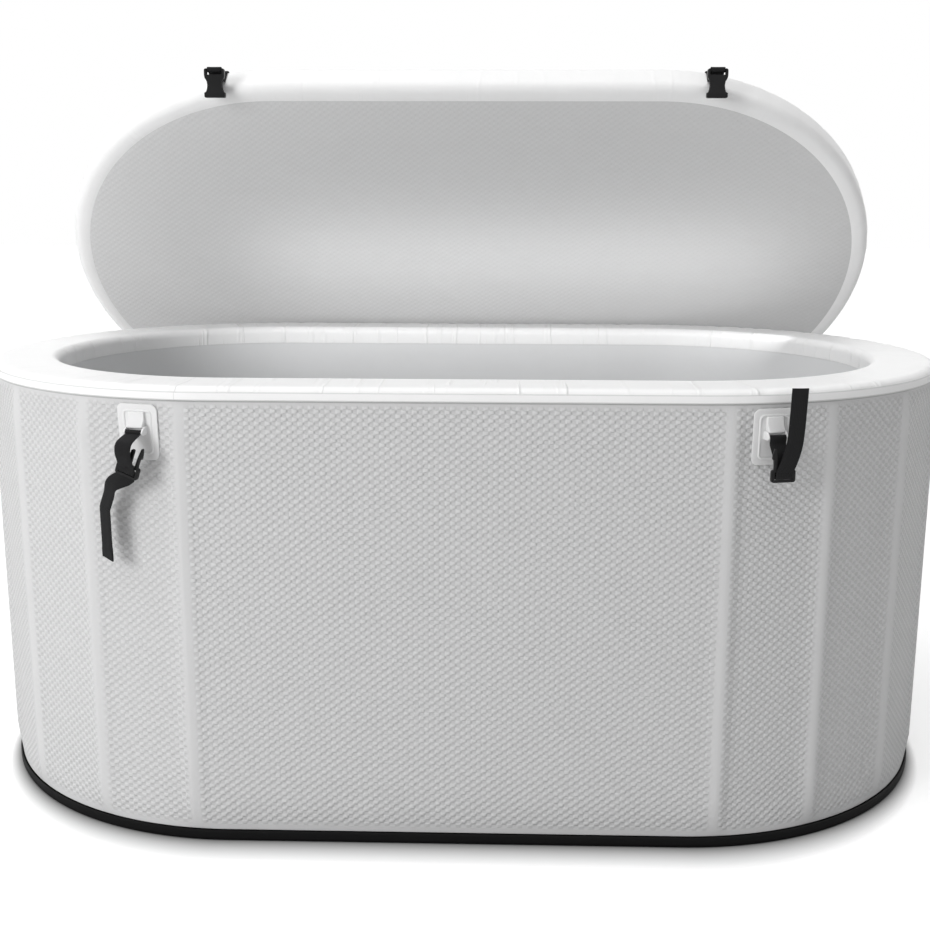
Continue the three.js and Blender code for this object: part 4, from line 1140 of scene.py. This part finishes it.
def rounded_ring(place, width, height, radius, inset, out, steps=8):
    """A rounded rectangle's outline as points; place turns across, up and out into a point."""
    points = []
    r = max(radius - inset, radius * 0.1)
    x, y = width / 2 - inset - r, height / 2 - inset - r
    for cx, cy, first in ((x, -y, -90), (x, y, 0), (-x, y, 90), (-x, -y, 180)):
        for i in range(steps + 1):
            turn = math.radians(first + 90 * i / steps)
            points.append(place(cx + r * math.cos(turn), cy + r * math.sin(turn), out))
    return points


def stepped(name, place, width, height, radius, profile, **options):
    """A loft of rounded rectangles, its profile given as inset and height."""
    rings = [rounded_ring(place, width, height, radius, inset, out) for inset, out in profile]
    return loft(name, rings, **options)


def welded_plate(place, width, height):
    """A thin plate with a soft edge, its surface following the place it is welded to."""
    patch = sizes("patch")
    t = patch.plate
    profile = [(0.0, 0.0), (0.0, t * 0.45), (t * 0.3, t * 0.85), (t * 0.8, t)]
    profile += [(patch.corner * share, t) for share in (0.5, 1.0, 1.6, 2.2)]
    return stepped("welded_plate", place, width, height, patch.corner, profile, capped=True)


def raised_frame(place):
    """The rounded ridge that frames the pad."""
    patch = sizes("patch")
    t, band = patch.plate, patch.frame_band
    profile = [(0.0, t * 0.5), (0.0, t * 1.3), (band * 0.2, t * 1.9), (band * 0.5, t * 2.1),
               (band * 0.8, t * 1.9), (band, t * 1.3), (band, t * 0.5)]
    width, height = patch.frame_width, patch.frame_height
    return stepped("raised_frame", place, width, height, patch.corner * 0.8, profile, closed=True)


def pad(matrix):
    """The white pad that the webbing comes out of, a rounded wedge with an open lip above the pin."""
    patch, strap = sizes("patch", "strap")
    lip, flat, clear, root, top = patch.pad_lip, patch.pad_flat, patch.pad_clear, patch.root, patch.rise
    profile = [(root, clear), (-lip, clear), (-lip, clear + 0.003), (-flat, top - patch.pad_slope),
               (-flat, top - patch.pad_top - flat), (root, top - patch.pad_top)]
    middle = Vector((-flat / 2, (clear + top - patch.pad_top) / 2))
    half = strap.width / 2
    rings = []
    for x, share in ((-half, 0.9), (-half + 0.0008, 0.97), (-half + 0.002, 1.0), (half - 0.002, 1.0),
                     (half - 0.0008, 0.97), (half, 0.9)):
        spots = [middle + (Vector(point) - middle) * share for point in profile]
        rings.append([matrix @ Vector((x, spot.x, spot.y)) for spot in spots])
    piece = loft("pad", rings, capped=True)
    bevelled(piece, 0.0012, 3, 35)
    return piece


def ears_and_pin(matrix):
    """Two rounded ears on the plate and the pin between them."""
    patch, strap = sizes("patch", "strap")
    inner = strap.width / 2 + 0.0004
    ear, low, high, root = patch.ear, -patch.ear_reach, patch.ear_rise, patch.root
    reach = strap.pin_out + patch.ear_reach
    outline = [(root, high), (root, low), (-reach + 0.004, low), (-reach + 0.001, low * 0.6), (-reach, 0.0),
               (-reach + 0.002, 0.004), (-reach + 0.008, high)]
    pieces = []
    for side in (-1, 1):
        rings = [[matrix @ Vector((side * x, y + shrink, z)) for y, z in outline]
                 for x, shrink in ((inner, 0.0), (inner + ear / 2, -0.0003), (inner + ear, 0.0006))]
        pieces.append(loft("ear", rings, capped=True))
    turns = [2 * math.pi * i / 24 for i in range(24)]
    circle = [(-strap.pin_out + strap.pin * math.cos(turn), strap.pin * math.sin(turn)) for turn in turns]
    rings = [[matrix @ Vector((x, y, z)) for y, z in circle] for x in (-inner - ear / 2, inner + ear / 2)]
    pieces.append(loft("pin", rings, capped=True))
    return pieces


class BATH_OT_patches(bpy.types.Operator):
    """Models the welded patches with their raised frame, webbing pad, ears and pin"""

    bl_idname = "bath.patches"
    bl_label = "Strap patches"

    def wall_patch(self, row, word, matrix, height):
        patch, seam = sizes("patch"), 0.0003
        half, radius = oval()
        far = way_round(matrix.translation)
        middle = height + patch.rise - patch.height / 2
        sign = -1 if abs(far) > half + radius * math.pi / 2 else 1

        def place(across, up, out):
            return on_wall(far + sign * across, middle + up, out + seam)

        plate = welded_plate(place, patch.width, patch.height)
        pieces = [plate, raised_frame(place), pad(matrix), *ears_and_pin(matrix)]
        piece = merged("patch_%s_%s" % (row, word), pieces)
        measure(piece, lambda co: (co.x, co.z))
        smooth(piece)
        fit(piece, "patch", "tub", "patch", "%s_patch_%s" % (row, word))

    def lid_patch(self):
        """A plate on the lid's top with the pocket that the tab comes out of, in its own frame."""
        patch, lid, strap = sizes("patch", "lid", "strap")
        low = lid.thickness / 2 + 0.0003
        length, rise, spare, corner = 0.03, patch.lid_pocket, 0.006, 0.004

        def placed(middle):
            return lambda across, up, out: Vector((across, middle + up, low + out))

        plate = welded_plate(placed(patch.lid_gap + patch.lid_length / 2), patch.width, patch.lid_length)
        profile = [(0.0, patch.plate * 0.5), (0.0, rise * 0.7), (0.0008, rise * 0.92), (0.002, rise),
                   (0.006, rise)]
        place = placed(patch.lid_gap + 0.0015 + length / 2)
        pocket = stepped("pocket", place, strap.width + spare, length, corner, profile, capped=True)
        piece = merged("patch_lid", [plate, pocket])
        measure(piece, across_and_back)
        smooth(piece)
        return piece

    def execute(self, context):
        strap, lid = sizes("strap", "lid")
        _, radius = oval()
        for side, word in SIDES:
            front = station(radius, side * strap.front_x, strap.front_pin)
            self.wall_patch("front", word, front, strap.front_pin)
            back = station(radius, side * strap.back_x, strap.back_pin, back=True)
            self.wall_patch("back", word, back, strap.back_pin)
        rows = (("front", lid.front_x), ("back", strap.back_x))
        places = [(side * x, row, word) for side, word in SIDES for row, x in rows]
        names = ["patch_lid_%s_%s" % (row, word) for _, row, word in places]
        for piece, (x, row, word) in zip(repeated(self.lid_patch(), names), places):
            moved(piece, lid_place() @ lid_station(x, row == "back"))
            fit(piece, "patch", "lid", "patch", "lid_patch_%s_%s" % (row, word))
        return {"FINISHED"}


class BATH_OT_straps(bpy.types.Operator):
    """Models the webbing of the front straps, the back straps and the lid's tabs"""

    bl_idname = "bath.straps"
    bl_label = "Straps"

    def execute(self, context):
        strap, lid = sizes("strap", "lid")
        _, radius = oval()
        for side, word in SIDES:
            route, acrosses, slant = hanging_strap(side) if side < 0 else climbing_strap(side)
            front = webbing("webbing_front_" + word, route, acrosses, True, slant)
            moved(front, station(radius, side * strap.front_x, strap.front_pin))
            fit(front, "webbing", "front_strap_" + word, "webbing", "front_strap_" + word)

        back = webbing("webbing_back", back_strap(), hemmed=True)
        for piece, (side, word) in zip(repeated(back, ["webbing_back_" + word for _, word in SIDES]), SIDES):
            hinge = Matrix.Translation((side * strap.back_x, radius + strap.pin_out, strap.back_pin))
            moved(piece, hinge @ Matrix.Rotation(strap.link_turn, 4, "X"))
            fit(piece, "webbing", "back_straps", "webbing", "back_strap_" + word)

        for row, x, reach, drop in (("front", lid.front_x, lid.front_out, lid.front_drop),
                                    ("back", strap.back_x, lid.bar_out, lid.bar_drop)):
            tab = webbing("webbing_lid_" + row, lid_tab(reach, drop))
            names = ["webbing_lid_%s_%s" % (row, word) for _, word in SIDES]
            for piece, (side, word) in zip(repeated(tab, names), SIDES):
                moved(piece, lid_place() @ lid_station(side * x, row == "back"))
                fit(piece, "webbing", "lid", "webbing", "lid_tab_%s_%s" % (row, word))
        return {"FINISHED"}


class BATH_OT_fittings(bpy.types.Operator):
    """Rounds the moulded edges of the buckles, the valves and the drain"""

    bl_idname = "bath.fittings"
    bl_label = "Buckles and fittings"

    def rounded(self, node, width):
        """A copy of a CAD piece, its facets joined to whole faces and its edges rounded."""
        source = frame["nodes"][node]
        deselect()
        piece = bpy.data.objects.new("moulded_" + node, source.data.copy())
        piece.matrix_world = source.matrix_world
        bpy.context.collection.objects.link(piece)
        only(piece)
        bpy.ops.object.mode_set(mode="EDIT")
        bpy.ops.mesh.select_all(action="SELECT")
        bpy.ops.mesh.remove_doubles(threshold=0.00002)
        bpy.ops.mesh.dissolve_limited(angle_limit=math.radians(1))
        bpy.ops.mesh.normals_make_consistent(inside=False)
        bpy.ops.object.mode_set(mode="OBJECT")
        bpy.ops.object.transform_apply(location=True, rotation=True, scale=True)
        bevelled(piece, width, 2, 38)
        smooth(renamed(piece, "moulded_" + node), 45)
        return piece

    def execute(self, context):
        record = frame["record"]
        bodies = {node: body for body, nodes in record["behaviour"]["bodies"].items() for node in nodes}
        for part in record["subparts"]:
            node, slot = part["node"], part["material_slot"]
            if slot in ("buckle", "valve", "seal"):
                fit(self.rounded(node, sizes("fitting").edge), slot, bodies[node], slot, node)
        return {"FINISHED"}


class BATH_OT_stage(bpy.types.Operator):
    """Sets the floor, the lights and the camera"""

    bl_idname = "bath.stage"
    bl_label = "Stage"

    def floor(self):
        stage = sizes("stage")
        deselect()
        bpy.ops.mesh.primitive_plane_add(size=40, location=(0, 0, -0.0005))
        floor = renamed(bpy.context.object, "pale_floor")
        # The floor's colour darkens from pale to a painted contact shadow round the tub's foot; clear goes
        # from 0 at the foot to 1 at the shadow's reach.
        pale, painted_shadow = (0.82, 0.82, 0.82), (0.25, 0.25, 0.25)
        look = Look("Pale floor", pale, 0.9, Specular_IOR_Level=0.0, Emission_Strength=1.0)
        half, radius = oval()
        x = look.node("ShaderNodeSeparateXYZ", {}, [look.place()], "X")
        beyond = (x.size() - half).most(0.0)
        depth = x.out("Y") * x.out("Y")
        away = (beyond * beyond + depth).math("SQRT")
        wide = depth * ((stage.contact - stage.contact_end) / radius ** 2)
        reach = wide.math("MINIMUM", stage.contact) + (radius + stage.contact_end)
        clear = look.node("ShaderNodeMapRange", {}, {"Value": away, "From Min": radius, "From Max": reach})
        ray = look.node("ShaderNodeLightPath", output="Is Camera Ray")
        # Painted contact shadow in the floor's colour, and the camera's glow fades with it near the foot.
        look.feed("Base Color", look.mix(clear, painted_shadow, pale))
        look.feed("Emission Color", look.mix(ray * clear, (0, 0, 0), (stage.glow,) * 3))
        floor.data.materials.append(look.material)

    def world(self, scene):
        world = bpy.data.worlds.new("Soft studio")
        world.use_nodes = True
        scene.world = world
        tree = Tree(world.node_tree)
        white = (1, 1, 1, 1)
        ray = tree.node("ShaderNodeLightPath", output="Is Camera Ray")
        plain = tree.node("ShaderNodeBackground", {}, {"Color": white, "Strength": sizes("stage").sky})
        seen = tree.node("ShaderNodeBackground", {}, {"Color": white, "Strength": 1.0})
        blend = tree.node("ShaderNodeMixShader", {}, [ray.most(ray.out("Is Glossy Ray")), plain, seen])
        tree.put(world.node_tree.nodes["World Output"].inputs["Surface"], blend)

    def lamp(self, name, kind, place, target, power):
        """A lamp that points at its target, hidden from the camera and from reflections."""
        deselect()
        bpy.ops.object.light_add(type=kind, location=place)
        lamp = renamed(bpy.context.object, name)
        lamp.data.energy = power
        lamp.visible_camera = False
        lamp.visible_glossy = False
        lamp.rotation_euler = (Vector(target) - Vector(place)).to_track_quat("-Z", "Y").to_euler()
        return lamp.data

    def camera(self, scene):
        stage = sizes("stage")
        data = bpy.data.cameras.new("Photo camera")
        data.lens = stage.lens
        data.sensor_width = 36
        data.clip_start = 0.05
        data.clip_end = 60
        camera = bpy.data.objects.new("Photo camera", data)
        scene.collection.objects.link(camera)
        pitch, yaw, roll = stage.pitch, stage.yaw, stage.roll
        ahead = Vector((math.sin(yaw) * math.cos(pitch), math.cos(yaw) * math.cos(pitch), -math.sin(pitch)))
        right = Vector((math.cos(yaw), -math.sin(yaw), 0))
        up = right.cross(ahead)
        side = right * math.cos(roll) + up * math.sin(roll)
        rise = up * math.cos(roll) - right * math.sin(roll)
        turn = Matrix((side, rise, -ahead)).transposed().to_4x4()
        camera.matrix_world = Matrix.Translation(stage.place) @ turn
        scene.camera = camera

    def execute(self, context):
        stage = sizes("stage")
        self.floor()
        self.world(context.scene)
        self.lamp("Key", "AREA", stage.key_place, stage.aim, stage.key).size = stage.key_size
        lift = self.lamp("Lift", "AREA", stage.lift_place, stage.lift_aim, stage.lift)
        lift.shape = "RECTANGLE"
        lift.size = stage.lift_length
        lift.size_y = stage.lift_width
        self.lamp("Top", "SUN", stage.top_place, stage.aim, stage.top).angle = stage.top_angle
        self.camera(context.scene)
        context.scene.view_settings.view_transform = "Standard"
        return {"FINISHED"}


class BATH_PT_panel(bpy.types.Panel):
    """Lists the settings and the operators that build the bathtub"""

    bl_label = "Inflatable bathtub"
    bl_idname = "BATH_PT_panel"
    bl_space_type = "VIEW_3D"
    bl_region_type = "UI"
    bl_category = "Bathtub"

    def draw(self, context):
        for group in GROUPS:
            box = self.layout.box()
            settings = getattr(context.scene, group)
            for key in settings.__annotations__:
                box.prop(settings, key)
        for operator in OPERATORS:
            self.layout.operator(operator.bl_idname)


GROUPS = {"bath_tub": TubSizes, "bath_lid": LidSizes, "bath_strap": StrapSizes, "bath_patch": PatchSizes,
          "bath_fitting": FittingSizes, "bath_finish": Finishes, "bath_stage": StageSizes}
OPERATORS = (BATH_OT_stage, BATH_OT_wall, BATH_OT_inside, BATH_OT_rim, BATH_OT_base, BATH_OT_lid,
             BATH_OT_patches, BATH_OT_straps, BATH_OT_fittings)


def register():
    for group in GROUPS.values():
        bpy.utils.register_class(group)
    for name, group in GROUPS.items():
        setattr(bpy.types.Scene, name, PointerProperty(type=group))
    for operator in OPERATORS:
        bpy.utils.register_class(operator)
    bpy.utils.register_class(BATH_PT_panel)


def unregister():
    bpy.utils.unregister_class(BATH_PT_panel)
    for operator in reversed(OPERATORS):
        bpy.utils.unregister_class(operator)
    for name, group in reversed(GROUPS.items()):
        delattr(bpy.types.Scene, name)
        bpy.utils.unregister_class(group)


def main():
    register()
    for operator in OPERATORS:
        _, _, name = operator.bl_idname.partition(".")
        getattr(bpy.ops.bath, name)()


if __name__ == "__main__":
    main()
